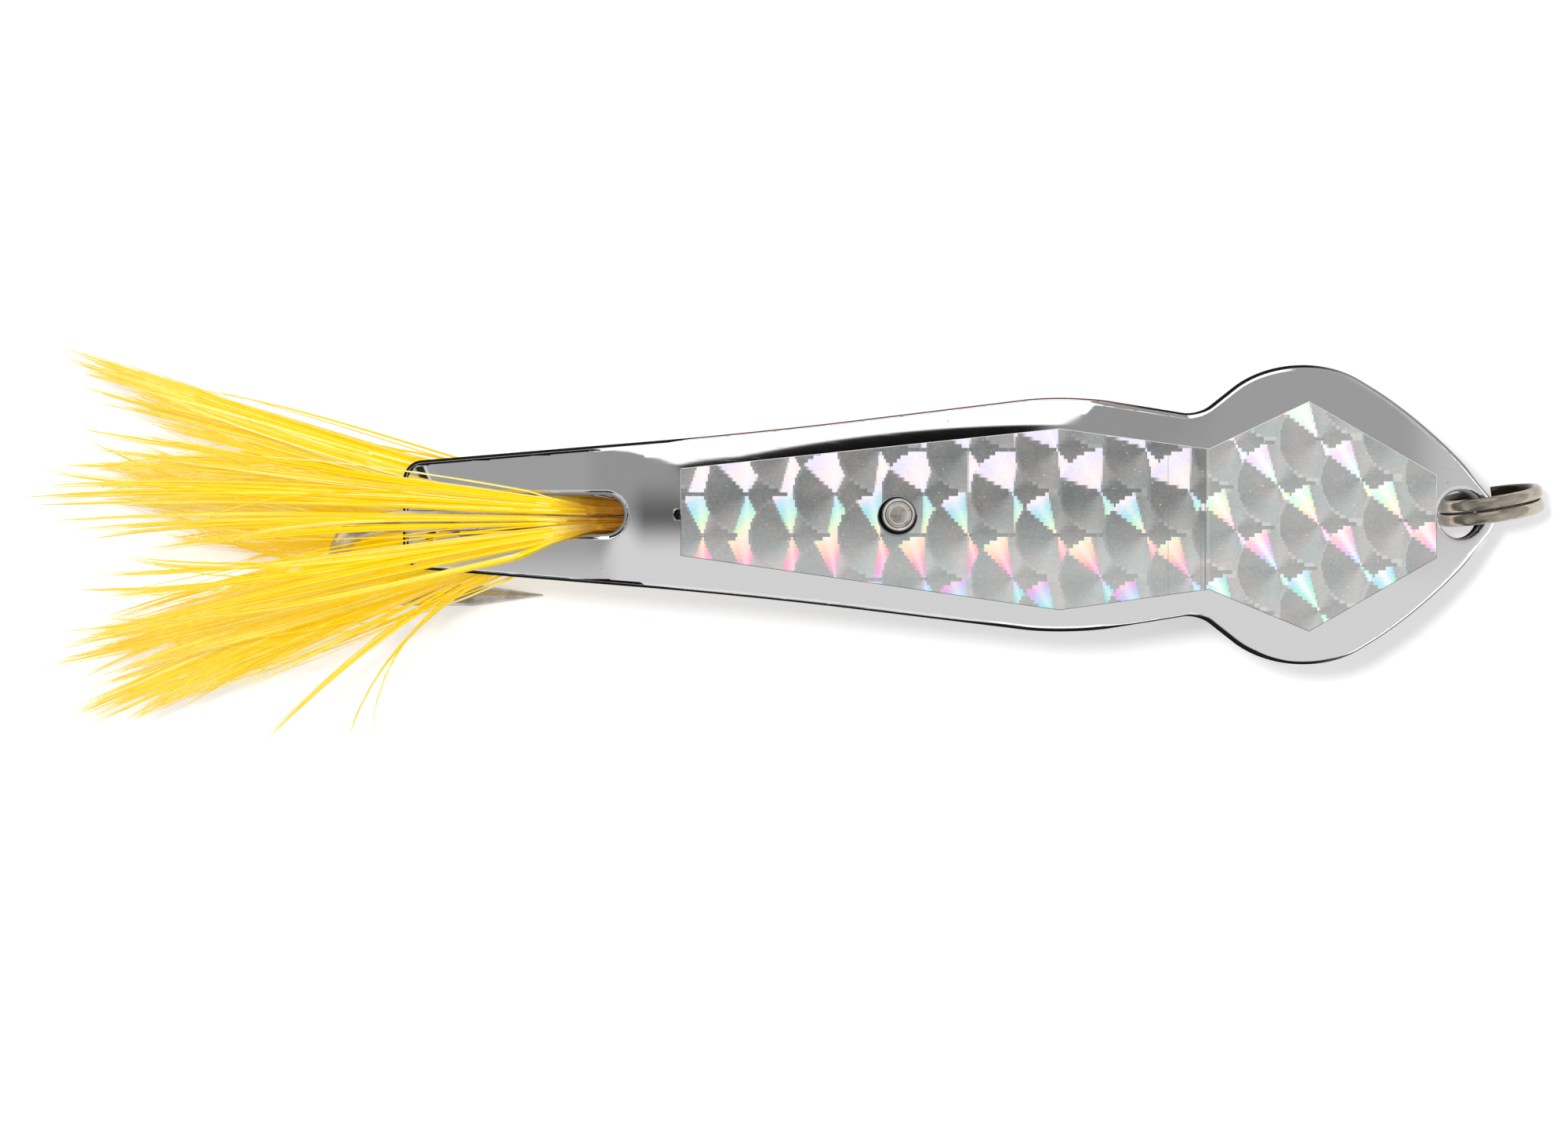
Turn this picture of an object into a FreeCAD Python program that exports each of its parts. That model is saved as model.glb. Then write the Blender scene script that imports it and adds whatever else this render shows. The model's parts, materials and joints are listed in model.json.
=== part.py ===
"""A chromed trolling spoon with a fixed, feather-dressed hook and a split ring at the nose.

Millimetres, nose towards +X, front face up (+Z). Every piece is made in the blade's own
frame, with the rivet at the origin and the blade's front face at z = 0 there. One stance
then lays the lure down on its hook and its split ring, with the middle of its box at x = y = 0.
"""
import FreeCAD, Part
import math
import os

Vec = FreeCAD.Vector
X_AXIS, Y_AXIS, Z_AXIS = Vec(1, 0, 0), Vec(0, 1, 0), Vec(0, 0, 1)

# ---- blade: a stamped plate, bent down at the tail, at the head and at the nose
plate = 1.2
edge_round = 0.3
tail_x = -40.2
tail_half = 4.3
tail_corner_r = 1.6
side_x = -12.0
side_half = 6.6
side_r = 400.0
belly_x = 13.7
belly_half = 9.75
belly_r = 25.0
neck_x = 24.2
neck_half = 8.05
neck_r = 2.7
shoulder_x = 32.0
shoulder_half = 13.87
shoulder_r = 9.5
cheek_x = 42.85
cheek_half = 7.56
cheek_r = 33.0
nose_x = 49.4
nose_r = 2.4

middle_r = 1500.0
tail_bend_at = 20.5
tail_bend_len = 5.0
head_bend_at = 15.0
head_bend_len = 8.0
head_bend_deg = 6.0
nose_bend_at = 40.5
nose_bend_len = 6.0
nose_bend_deg = 24.0
curl_at = 37.2
curl_len = 3.0
curl_deg = 12.0
crown = 0.8
crown_from = -22.0
crown_to = 27.0
crown_ramp = 9.0

slot_from = -22.2
slot_to = -36.4
slot_side_gap = 0.68
slot_end_round = 0.98
nose_hole_at = nose_x - 3.8
nose_hole_r = 1.9
dimple_at = -17.75
dimple_r = 0.45
dimple_deep = 0.25

# ---- tape: a die-cut decal, laid by hand a little askew
tape = 0.12
tape_from_slot = 4.55
tape_left_in_top, tape_left_in_low = 2.86, 3.27
tape_waist_back = 0.7
tape_waist_in_top, tape_waist_in_low = 2.53, 2.02
tape_neck_ahead = 0.9
tape_neck_in_top, tape_neck_in_low = 2.72, 1.99
tape_peak_ahead = 1.25
tape_peak_in_top, tape_peak_in_low = 4.68, 4.41
tape_right_in_top, tape_right_in_low = 4.35, 4.06
tape_hole_gap = 0.19
tape_from_hole = 0.05
tape_hole_off = -0.12

# ---- rivet and hook
rivet_r = 0.95
rivet_head_r = 1.38
rivet_head = 0.45
rivet_rim = 0.24
rivet_dish = 0.15
clinch_r = 1.75
clinch = 0.6
clinch_round = 0.27
press_gap = 0.01
running_gap = 0.08
cut_low, cut_high = -40.0, 20.0

wire_r = 0.875
eye_gap = 0.12
shank_lean_deg = 2.0
tail_gap = 0.3
hook_swing_deg = 0.75
hook_cant_deg = 23.6
bend_gap = 4.65
hook_gap = 15.0
bend_corner_r = 5.2
bend_corner_deg = 70.0
spear_len = 10.6
spear_flare_deg = 2.0
point_len = 5.7
tip_r = 0.06
barb_len = 2.6
barb_high = 0.75
barb_notch = 1.43
barb_thick = 0.35

# ---- dressing: feathers bound to the shank behind the blade
wrap_before_slot = 6.2
wrap_from = slot_from + wrap_before_slot
wrap_len = 4.6
wrap_to = wrap_from - wrap_len
quill = 0.26
quill_lift = 0.04
thread_cover = 0.16
thread_round = 0.1
quill_hold = 1.2
wrap_r = wire_r + quill_lift + quill + thread_cover
quill_ring_r = wire_r + quill_lift + quill / 2
vane_wide_at = 0.62
vane_swell = 0.72
vane_taper = 0.62
vane_tip = 0.05
front_spread_past_slot = 6.6
front_spread_x = slot_from - front_spread_past_slot
front_bare = 2.5
rear_spread_past_wrap = 0.9
rear_spread_x = wrap_to - rear_spread_past_wrap
rear_bare = 7.0

# ---- split ring: two flat turns of wire with a short crossover
ring_r = 4.4
ring_wire_high = 0.8
ring_wire_wide = 1.05
ring_wire_round = 0.36
ring_turn_gap = 0.04
ring_yaw_deg = 8.6
ring_lean_deg = -5.7
ring_open_deg = 26.0
ring_open_at_deg = -85.0
ring_play = 1.6
web_ahead = 0.6
web_side = 0.6


# ---- what follows from the sizes
hook_wire = 2 * wire_r
slot_half = wire_r + slot_side_gap
eye_z = -(plate + wire_r + eye_gap)
eye_r = rivet_r + running_gap + wire_r


def tan_deg(angle):
    return math.tan(math.radians(angle))


def bend(past, length):
    """Fall of a plate of slope 1 that starts to bend at 0 and is straight again at length."""
    if past <= 0:
        return 0.0
    return past * past / (2 * length) if past < length else past - length / 2


def bow(x):
    return x * x / (2 * middle_r)


def shank_z(x):
    return eye_z + x * tan_deg(shank_lean_deg)


# the tail drops far enough for the shank to come out over it at the end of the slot
tail_fall = -(shank_z(slot_to) - wire_r) + tail_gap
tail_slope = (tail_fall - bow(slot_to)) / bend(-slot_to - tail_bend_at, tail_bend_len)


def profile(x):
    """Height of the blade's front face along its middle line."""
    return -(bow(x) + tail_slope * bend(-x - tail_bend_at, tail_bend_len)
             + tan_deg(curl_deg) * bend(-x - curl_at, curl_len)
             + tan_deg(head_bend_deg) * bend(x - head_bend_at, head_bend_len)
             + tan_deg(nose_bend_deg) * bend(x - nose_bend_at, nose_bend_len))


def slope_deg(x):
    step = 0.01
    return math.degrees(math.atan2(profile(x - step) - profile(x + step), 2 * step))


def ease(t):
    t = min(1.0, max(0.0, t))
    return t * t * (3 - 2 * t)


def front(x, y):
    """Height of the blade's front face, crowned across the belly."""
    crowned = ease((x - crown_from) / crown_ramp) * ease((crown_to - x) / crown_ramp)
    return profile(x) - crown * crowned * (y / belly_half) ** 2


def rounded(corners):
    """A closed flat outline of straight runs, with a tangent arc of radius r at each (x, y, r).

    An arc that its two runs can't hold is made smaller, so that it ends where the next begins."""
    points = [Vec(x, y, 0) for x, y, r in corners]
    count = len(points)
    ahead = [(points[(i + 1) % count] - points[i]) for i in range(count)]
    runs = [run.Length for run in ahead]
    halves = [(-ahead[i - 1]).getAngle(ahead[i]) / 2 for i in range(count)]
    reaches = [corner[2] / math.tan(half) for corner, half in zip(corners, halves)]
    room = [min(1.0, runs[i] / max(reaches[i] + reaches[(i + 1) % count], 1e-9))
            for i in range(count)]
    edges, arcs = [], []
    for i, here in enumerate(points):
        reach = reaches[i] * min(room[i - 1], room[i])
        inward, outward = -Vec(ahead[i - 1]).normalize(), Vec(ahead[i]).normalize()
        arcs.append((here + inward * reach, here + outward * reach))
        if reach > 0:
            r = reach * math.tan(halves[i])
            middle = here + (inward + outward).normalize() * (r / math.sin(halves[i]) - r)
            edges.append(Part.Arc(arcs[i][0], middle, arcs[i][1]).toShape())
    for i in range(count):
        start, end = arcs[i][1], arcs[(i + 1) % count][0]
        if (end - start).Length > 1e-6:
            edges.append(Part.LineSegment(start, end).toShape())
    return Part.Wire(Part.sortEdges(edges)[0])


def prism(outline, low=cut_low, high=cut_high):
    face = Part.Face(outline)
    face.translate(Vec(0, 0, low))
    return face.extrude(Vec(0, 0, high - low))


def plate_under(lift, thick, x_from, x_to, half):
    """The layer of the given thickness whose upper face is lift above the blade's front."""
    along, across = 70, 9
    rows = []
    for i in range(along + 1):
        x = x_from + (x_to - x_from) * i / along
        ys = [-half + 2 * half * j / across for j in range(across + 1)]
        rows.append([Vec(x, y, front(x, y) + lift) for y in ys])
    surface = Part.BSplineSurface()
    surface.interpolate(rows)
    return surface.toShape().extrude(Vec(0, 0, -thick))


def tilted_cylinder(x, r, angle_deg, above, below):
    """A cylinder square to the plate at x, where the plate slopes down by angle_deg."""
    lean = math.radians(angle_deg)
    axis = Vec(math.sin(lean), 0, math.cos(lean))
    return Part.makeCylinder(r, above + below, Vec(x, 0, profile(x)) - axis * below, axis)


def by_area_in_front(face):
    """The face's area, counted only for faces that look up."""
    return face.Area if face.normalAt(0.5, 0.5).z > 0 else 0


def make_blade():
    side = [(tail_x, tail_half, tail_corner_r), (side_x, side_half, side_r),
            (belly_x, belly_half, belly_r), (neck_x, neck_half, neck_r),
            (shoulder_x, shoulder_half, shoulder_r), (cheek_x, cheek_half, cheek_r)]
    outline = side + [(nose_x, 0, nose_r)] + [(x, -y, r) for x, y, r in reversed(side)]
    widest = shoulder_half + 1
    blade = prism(rounded(outline)).common(plate_under(0, plate, tail_x - 1, nose_x + 1, widest))
    end_r = slot_half * slot_end_round
    slot = [(slot_from, slot_half, end_r), (slot_from, -slot_half, end_r),
            (slot_to, -slot_half, end_r), (slot_to, slot_half, end_r)]
    blade = blade.cut(prism(rounded(slot)))
    face = max(blade.Faces, key=by_area_in_front)
    blade = blade.makeFillet(edge_round, [edge for wire in face.Wires for edge in wire.Edges])
    blade = blade.cut(tilted_cylinder(nose_hole_at, nose_hole_r, slope_deg(nose_hole_at),
                                      3 * plate, 3 * plate))
    blade = blade.cut(Part.makeCylinder(rivet_r + press_gap, 3 * plate, Vec(0, 0, -2 * plate)))
    dimple_ball = (dimple_r ** 2 + dimple_deep ** 2) / (2 * dimple_deep)
    centre = Vec(dimple_at, 0, front(dimple_at, 0) + dimple_ball - dimple_deep)
    return blade.cut(Part.makeSphere(dimple_ball, centre))


def make_tape():
    left, right = slot_from + tape_from_slot, nose_hole_at - nose_hole_r - tape_from_hole
    columns = [(left, side_half, tape_left_in_top, tape_left_in_low),
               (belly_x - tape_waist_back, belly_half, tape_waist_in_top, tape_waist_in_low),
               (neck_x + tape_neck_ahead, neck_half, tape_neck_in_top, tape_neck_in_low),
               (shoulder_x + tape_peak_ahead, shoulder_half, tape_peak_in_top, tape_peak_in_low),
               (right, cheek_half, tape_right_in_top, tape_right_in_low)]
    corners = [(x, half - top, 0) for x, half, top, low in columns]
    corners += [(x, low - half, 0) for x, half, top, low in reversed(columns)]
    decal = prism(rounded(corners)).common(plate_under(tape, tape, left - 1, right + 1, shoulder_half))
    hole = Vec(tape_hole_off, tape_hole_off, -plate)
    return decal.cut(Part.makeCylinder(rivet_head_r + tape_hole_gap, 3 * plate, hole))


def make_rivet():
    under_eye = eye_z - wire_r - eye_gap
    head = Part.makeCylinder(rivet_head_r, rivet_head)
    head = head.makeFillet(rivet_rim / 2, [head.Edges[0]])
    dish = Part.makeCylinder(rivet_head_r - rivet_rim, rivet_dish, Vec(0, 0, rivet_head - rivet_dish))
    shaft = Part.makeCylinder(rivet_r, -under_eye, Vec(0, 0, under_eye))
    foot = Part.makeCylinder(clinch_r, clinch, Vec(0, 0, under_eye - clinch))
    foot = foot.makeFillet(clinch_round, [foot.Edges[2]])
    return head.cut(dish).fuse([shaft, foot]).removeSplitter()


def along_shank(x, side=0.0, lift=0.0):
    """A point beside the hook's shank, before the hook is swung."""
    return Vec(x, side, shank_z(x) + lift)


def shank_frame(shape):
    """Lay a shape drawn along -X, with its wire at z = 0, on the shank's axis."""
    shape.rotate(Vec(0, 0, 0), Y_AXIS, -shank_lean_deg)
    shape.translate(Vec(0, 0, eye_z))
    return shape


def swing_hook(shape):
    shape.rotate(Vec(0, 0, 0), Z_AXIS, hook_swing_deg)
    return shape


bend_outer = tail_x - bend_gap - hook_wire
corner = math.radians(bend_corner_deg)
back_r = (hook_gap - 2 * bend_corner_r * (1 - math.cos(corner))) / (2 * math.cos(corner))
bend_reach = bend_corner_r * math.sin(corner) + back_r * (1 - math.sin(corner))
bend_start = bend_outer + wire_r + bend_reach


def on_circle(centre, r, angle):
    """A point r from the centre, at an angle from +Z towards -X."""
    return centre + Vec(-math.sin(angle) * r, 0, math.cos(angle) * r)


def mirrored(point):
    """The point's image on the spear's side of the bend."""
    return Vec(point.x, 0, -hook_gap - point.z)


def bend_path():
    """The middle line of the shank and the bend in the hook's own plane, and where it ends."""
    top = Vec(bend_start, 0, 0)
    centre = top - Z_AXIS * bend_corner_r
    middle = on_circle(centre, bend_corner_r, corner / 2)
    knee = on_circle(centre, bend_corner_r, corner)
    back = Vec(bend_outer + wire_r, 0, -hook_gap / 2)
    edges = [Part.LineSegment(Vec(-eye_r, 0, 0), top), Part.Arc(top, middle, knee),
             Part.Arc(knee, back, mirrored(knee)),
             Part.Arc(mirrored(knee), mirrored(middle), mirrored(top))]
    return Part.Wire([edge.toShape() for edge in edges]), mirrored(top)


def make_hook():
    path, heel = bend_path()
    section = Part.Wire(Part.makeCircle(wire_r, Vec(-eye_r, 0, 0), X_AXIS))
    wire = path.makePipeShell([section], True, False)
    spear = Part.makeCylinder(wire_r, spear_len - point_len, Vec(0, 0, 0), X_AXIS)
    point = Part.makeCone(wire_r, tip_r, point_len, Vec(spear_len - point_len, 0, 0), X_AXIS)
    barb_root = spear_len - point_len + wire_r
    barb = Part.Face(rounded([(barb_root, 0, 0), (barb_root - barb_len, wire_r + barb_high, 0),
                              (barb_root - barb_notch, 0, 0)]))
    barb.rotate(Vec(0, 0, 0), X_AXIS, 90)
    barb.translate(Vec(0, barb_thick / 2, 0))
    barb = barb.extrude(Vec(0, -barb_thick, 0))
    spear = spear.fuse([point, barb])
    spear.rotate(Vec(0, 0, 0), Y_AXIS, spear_flare_deg)
    spear.translate(heel)
    bent = wire.fuse([spear])
    bent.rotate(Vec(0, 0, 0), X_AXIS, -hook_cant_deg)
    eye = Part.makeTorus(eye_r, wire_r)
    return swing_hook(shank_frame(bent.fuse([eye]))).removeSplitter()


# Each feather: place round the shank (degrees, 90 on top); its tip's reach past the tail, side
# and lift over the shank's line; its width; and how far its middle is arched up
FRONT_FEATHERS = [(54, 25.8, 8.2, 6.9, 5.0, 1.0), (72, 30.3, 3.8, 3.06, 4.4, 0.3),
                  (90, 23.3, -1.2, 7.41, 4.6, 1.2), (108, 26.3, -5.4, 3.12, 4.4, 0.3),
                  (126, 27.8, -9.6, 6.97, 5.0, 1.0)]
REAR_FEATHERS = [(5, 27.5, 14.3, -7.44, 5.2, -1.6), (-22, 25.8, 10.2, -9.7, 4.2, -1.5),
                 (-50, 28.3, 5.2, -11.01, 4.0, -1.2), (-80, 21.8, 1.4, -12.64, 3.2, -0.8),
                 (-138, 24.3, -15.8, -10.15, 4.6, -1.4), (-159, 11.8, -17.2, -6.99, 2.6, -1.4),
                 (180, 28.8, -12.2, -6.8, 3.4, -1.8)]


def arch(length, rise, lift):
    """An arc over a run along X, its middle standing above its ends."""
    ends = Vec(0, 0, lift), Vec(length, 0, lift)
    return Part.Arc(ends[0], Vec(length / 2, 0, lift + rise), ends[1]).toShape()


def make_vane(length, bare, width, rise):
    """A flat, pointed vane along +X, as narrow as its quill for the bare run, arched lengthwise."""
    thin, half, wide_at = quill / 2, width / 2, length * vane_wide_at
    edge = Part.BSplineCurve()
    edge.interpolate([Vec(bare, thin, 0), Vec((bare + wide_at) / 2, half * vane_swell, 0),
                      Vec(wide_at, half, 0), Vec((wide_at + length) / 2, half * vane_taper, 0),
                      Vec(length, vane_tip, 0)])
    upper = [Part.LineSegment(Vec(0, thin, 0), Vec(bare, thin, 0)).toShape(), edge.toShape()]
    flip = FreeCAD.Matrix()
    flip.scale(1, -1, 1)
    lower = [piece.transformGeometry(flip) for piece in upper]
    ends = [Part.LineSegment(Vec(x, -y, 0), Vec(x, y, 0)).toShape()
            for x, y in ((0, thin), (length, vane_tip))]
    outline = Part.Wire(Part.sortEdges(upper + lower + ends)[0])
    sides = [Part.LineSegment(Vec(x, 0, -thin), Vec(x, 0, thin)).toShape() for x in (0, length)]
    band = Part.Face(Part.Wire(Part.sortEdges([arch(length, rise, -thin),
                                               arch(length, rise, thin)] + sides)[0]))
    band.translate(Vec(0, -width, 0))
    return prism(outline).common(band.extrude(Vec(0, 2 * width, 0)))


def beside_shank(x, place_deg):
    """A point on the ring of quills round the shank."""
    place = math.radians(place_deg)
    return along_shank(x) + Vec(0, math.cos(place), math.sin(place)) * quill_ring_r


def make_stem(place_deg, to_x):
    root, end = (beside_shank(x, place_deg) for x in (wrap_to + quill_hold, to_x))
    return Part.makeCylinder(quill / 2, (end - root).Length + quill / 2, root, end - root)


def make_feather(spread_x, bare, place_deg, reach, side, lift, width, rise):
    """A quill that keeps to the shank as far as spread_x, then a vane that runs to the tip."""
    spread = beside_shank(spread_x, place_deg)
    run = along_shank(tail_x - reach, side, lift) - spread
    vane = make_vane(run.Length, bare, width, rise)
    vane.rotate(Vec(0, 0, 0), Y_AXIS, -math.degrees(math.asin(run.z / run.Length)))
    vane.rotate(Vec(0, 0, 0), Z_AXIS, math.degrees(math.atan2(run.y, run.x)))
    vane.translate(spread)
    return swing_hook(make_stem(place_deg, spread_x).fuse([vane]))


def make_wrap():
    """Thread wound over the quills, round the shank."""
    sleeve = Part.makeCylinder(wrap_r, wrap_len, Vec(wrap_to, 0, 0), X_AXIS)
    sleeve = sleeve.makeFillet(thread_round, [e for e in sleeve.Edges if len(e.Vertexes) == 1])
    core = Part.makeCylinder(wire_r, 3 * wrap_len, Vec(wrap_to - wrap_len, 0, 0), X_AXIS)
    sleeve = shank_frame(sleeve.cut(core))
    for row in FRONT_FEATHERS + REAR_FEATHERS:
        sleeve = sleeve.cut(make_stem(row[0], wrap_to - quill_hold))
    return swing_hook(sleeve)


def ring_section(angle, shift):
    """The ring wire's rounded section at an angle round the ring, moved sideways by shift."""
    w, h, r = ring_wire_wide / 2, ring_wire_high / 2, ring_wire_round
    outline = rounded([(-h, -w, r), (h, -w, r), (h, w, r), (-h, w, r)])
    outline.translate(Vec(ring_r - h, shift, 0))
    outline.rotate(Vec(0, 0, 0), Y_AXIS, -angle)
    return outline


def make_ring():
    """Two turns in the XZ plane about Y, one each side, joined by a short crossover."""
    shift = (ring_wire_wide + ring_turn_gap) / 2
    turn = 360 - ring_open_deg
    pieces = []
    for side, first in ((1, ring_open_at_deg), (-1, ring_open_at_deg)):
        face = Part.Face(ring_section(first, side * shift))
        pieces.append(face.revolve(Vec(0, 0, 0), Y_AXIS, -turn))
    # the crossover leaves one turn's end and meets the other turn's start
    steps = 6
    sections = []
    for i in range(steps + 1):
        t = i / steps
        angle = ring_open_at_deg - ring_open_deg * (1 - t)
        sections.append(ring_section(angle, shift * (1 - 2 * ease(t))))
    pieces.append(Part.makeLoft(sections, True, False))
    return pieces[0].fuse(pieces[1:]).removeSplitter()


ring_normal = FreeCAD.Rotation(Z_AXIS, ring_yaw_deg).multiply(
    FreeCAD.Rotation(X_AXIS, -ring_lean_deg))
# the web between the hole and the nose is what the ring swings round
web_x = nose_hole_at + nose_hole_r + web_ahead
web = Vec(web_x, web_side, profile(web_x) - plate / 2)
ring_hang = ring_r - ring_wire_high - ring_play


def place_ring(ring):
    ring.Placement = FreeCAD.Placement(Vec(0, 0, 0), ring_normal).multiply(ring.Placement)
    ring.translate(web - ring_normal.multVec(Z_AXIS) * ring_hang)
    return ring


def lowest(points, angle):
    """Height of the lowest of the points once they are turned about Y."""
    turn = math.radians(angle)
    return min(p.z * math.cos(turn) - p.x * math.sin(turn) for p in points)


def stance(hook, ring):
    """Pitch that brings the hook and the ring to the same floor."""
    fine = 0.02
    hook_points, ring_points = hook.tessellate(fine)[0], ring.tessellate(fine)[0]
    down, up = -10.0, 20.0
    while up - down > 1e-6:
        middle = (down + up) / 2
        if lowest(ring_points, middle) > lowest(hook_points, middle):
            down = middle
        else:
            up = middle
    return (down + up) / 2


def turned(shape, angle):
    copy = shape.copy()
    copy.rotate(Vec(0, 0, 0), Y_AXIS, angle)
    return copy


def build():
    shapes = {"spoon_blade": make_blade(), "prism_tape": make_tape(), "rivet": make_rivet(),
              "hook": make_hook()}
    for i, row in enumerate(FRONT_FEATHERS, 1):
        shapes[f"front_feather_{i}"] = make_feather(front_spread_x, front_bare, *row)
    for i, row in enumerate(REAR_FEATHERS, 1):
        shapes[f"rear_feather_{i}"] = make_feather(rear_spread_x, rear_bare, *row)
    shapes["binding_thread"] = make_wrap()
    shapes["split_ring"] = place_ring(make_ring())
    return shapes


def main():
    os.makedirs("parts", exist_ok=True)
    shapes = build()
    pitch = stance(shapes["hook"], shapes["split_ring"])
    laid = {name: turned(shape, pitch) for name, shape in shapes.items()}
    box = FreeCAD.BoundBox()
    for shape in laid.values():
        box.add(shape.optimalBoundingBox(False, False))
    shift = Vec(-box.Center.x, -box.Center.y, -box.ZMin)
    lay = FreeCAD.Placement(shift, FreeCAD.Rotation(Y_AXIS, pitch))
    for name, shape in laid.items():
        shape.translate(shift)
        shape.exportStep(f"parts/{name}.step")
        print(name, shape.isValid(), len(shape.Solids), round(shape.Volume, 3))
    print("pitch", round(pitch, 4), "box", box)
    for name, point in {"rivet": Vec(0, 0, 0), "web": web}.items():
        print(name, [round(v / 1000, 7) for v in lay.multVec(point)])
    for name, axis in {"hook swing": Z_AXIS, "ring swing": -ring_normal.multVec(Y_AXIS)}.items():
        print(name, "axis", [round(v, 7) for v in lay.Rotation.multVec(axis)])


if __name__ == "__main__":
    main()
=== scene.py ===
"""A chromed trolling spoon, dressed over its CAD frame: plated blade, prismatic decal, rivet,
hook, split ring, thread winding and yellow hackle, on a plain white studio floor.

Lengths are millimetres in the blade's own frame, with the rivet at the origin and the nose
towards +X. The matrix LAY puts them where the CAD frame has the blade, in metres.
"""
import json
import math
import random

import bmesh
import bpy
import numpy as np
from bpy.props import (FloatProperty, FloatVectorProperty, IntProperty, PointerProperty)
from bpy.types import Operator, Panel, PropertyGroup
from mathutils import Matrix, Vector


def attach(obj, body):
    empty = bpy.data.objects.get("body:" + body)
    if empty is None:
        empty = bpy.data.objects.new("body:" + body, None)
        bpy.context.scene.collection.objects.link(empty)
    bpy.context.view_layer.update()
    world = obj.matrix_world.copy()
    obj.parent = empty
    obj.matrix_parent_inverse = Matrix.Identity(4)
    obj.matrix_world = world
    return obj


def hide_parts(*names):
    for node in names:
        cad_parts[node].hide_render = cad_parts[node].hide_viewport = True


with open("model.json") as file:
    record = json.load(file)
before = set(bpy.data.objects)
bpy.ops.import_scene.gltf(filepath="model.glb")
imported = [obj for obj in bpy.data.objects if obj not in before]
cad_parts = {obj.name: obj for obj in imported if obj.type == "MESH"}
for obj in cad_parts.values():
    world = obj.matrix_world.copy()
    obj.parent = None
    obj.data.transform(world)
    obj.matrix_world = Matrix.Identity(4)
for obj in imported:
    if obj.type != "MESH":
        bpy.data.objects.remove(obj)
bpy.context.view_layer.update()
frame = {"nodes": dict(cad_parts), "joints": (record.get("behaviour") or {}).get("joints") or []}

bl_info = {
    "name": "Trolling spoon",
    "version": (1, 0, 0),
    "blender": (4, 5, 0),
    "location": "View3D > Sidebar > Spoon",
    "description": "Builds the looks of a chromed trolling spoon over its CAD frame",
    "category": "Object",
}

MM = 0.001
JOINTS = {joint["name"]: joint for joint in frame["joints"]}
PIN = Vector(JOINTS["hook_swing"]["pos_m"])
PIN_AXIS = Vector(JOINTS["hook_swing"]["axis"])
PITCH = Matrix.Rotation(math.atan2(PIN_AXIS.x, PIN_AXIS.z), 4, "Y")
LAY = Matrix.Translation(PIN) @ PITCH @ Matrix.Scale(MM, 4)


# ---- the blade's shape

PLATE = 1.2
MIDDLE_R = 1500.0
TAIL_X, TAIL_HALF, TAIL_CORNER_R = -40.2, 4.3, 1.6
NOSE_X, NOSE_R = 49.4, 2.4
NOSE_HOLE_AT, NOSE_HOLE_R = 45.6, 1.9
RIVET_HOLE_R, RIVET_SHAFT_R, RIVET_HEAD_R = 0.96, 0.95, 1.38
DIMPLE_AT, DIMPLE_R, DIMPLE_DEEP = -17.75, 0.5, 0.25
BELLY_HALF = 9.75
CROWN, CROWN_FROM, CROWN_TO, CROWN_RAMP = 0.8, -22.0, 27.0, 9.0
TAIL_CAMBER, HEAD_CAMBER = 0.008, 0.0025
TAIL_BEND_AT, TAIL_BEND_LEN = 20.5, 5.0
# the other bends: towards the tail or the nose, where they start, their length, degrees
BENDS = [(-1, 37.2, 3.0, 12), (1, 15.0, 8.0, 6), (1, 40.5, 6.0, 24)]
HOOK_WIRE_R, EYE_GAP = 0.875, 0.12
SLOT_FROM, SLOT_TO, SLOT_HALF = -22.2, -36.4, HOOK_WIRE_R + 0.68
SHANK_LEAN, SHANK_OVER_TAIL = math.radians(2.0), 0.3
EYE_Z = -(PLATE + HOOK_WIRE_R + EYE_GAP)
HOOK_SWING = Matrix.Rotation(math.radians(0.75), 4, "Z")
RING_R, RING_WIRE_HIGH, RING_WIRE_WIDE, RING_TURN_GAP, RING_HANG = 4.4, 0.8, 1.05, 0.04, 2.0
RING_YAW, RING_LEAN = math.radians(8.6), math.radians(-5.7)
RING_OPEN, RING_OPEN_AT = math.radians(26.0), math.radians(-85.0)
WEB = LAY.inverted() @ Vector(JOINTS["ring_swing"]["pos_m"])
# half of the outline from the nose to the tail: corners with the radius of their rounding
HALF_OUTLINE = [(42.85, 7.56, 33.0), (32.0, 14.2, 9.0), (24.2, 8.05, 2.7),
                (13.7, BELLY_HALF, 25.0), (-12.0, 6.6, 400.0),
                (TAIL_X, TAIL_HALF, TAIL_CORNER_R)]
# a corner's reach as a share of its short side, so that the rounding leaves it a little
NEARLY_ALL = 0.999
# points closer than SAME are one point, and a point within ON_CUT of a plane lies in it
SAME, ON_CUT = 1e-4, 1e-5
BACK_ROUND, SLOT_END_ROUND, HOLE_SHORT = 0.2, 0.98, 0.91
TAPE, TAPE_ROUND, TAPE_BACK_ROUND = 0.12, 0.09, 0.01


def bend(past, length):
    """Fall of a plate of slope 1 that starts to bend at 0 and is straight again at length."""
    if past <= 0:
        return 0.0
    return past * past / (2 * length) if past < length else past - length / 2


def shank_z(x):
    return EYE_Z + x * math.tan(SHANK_LEAN)


TAIL_FALL = (-(shank_z(SLOT_TO) - HOOK_WIRE_R) + SHANK_OVER_TAIL
             - SLOT_TO ** 2 / (2 * MIDDLE_R))
TAIL_SLOPE = TAIL_FALL / bend(-SLOT_TO - TAIL_BEND_AT, TAIL_BEND_LEN)


def ease(t):
    t = min(1.0, max(0.0, t))
    return t * t * (3 - 2 * t)


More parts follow.
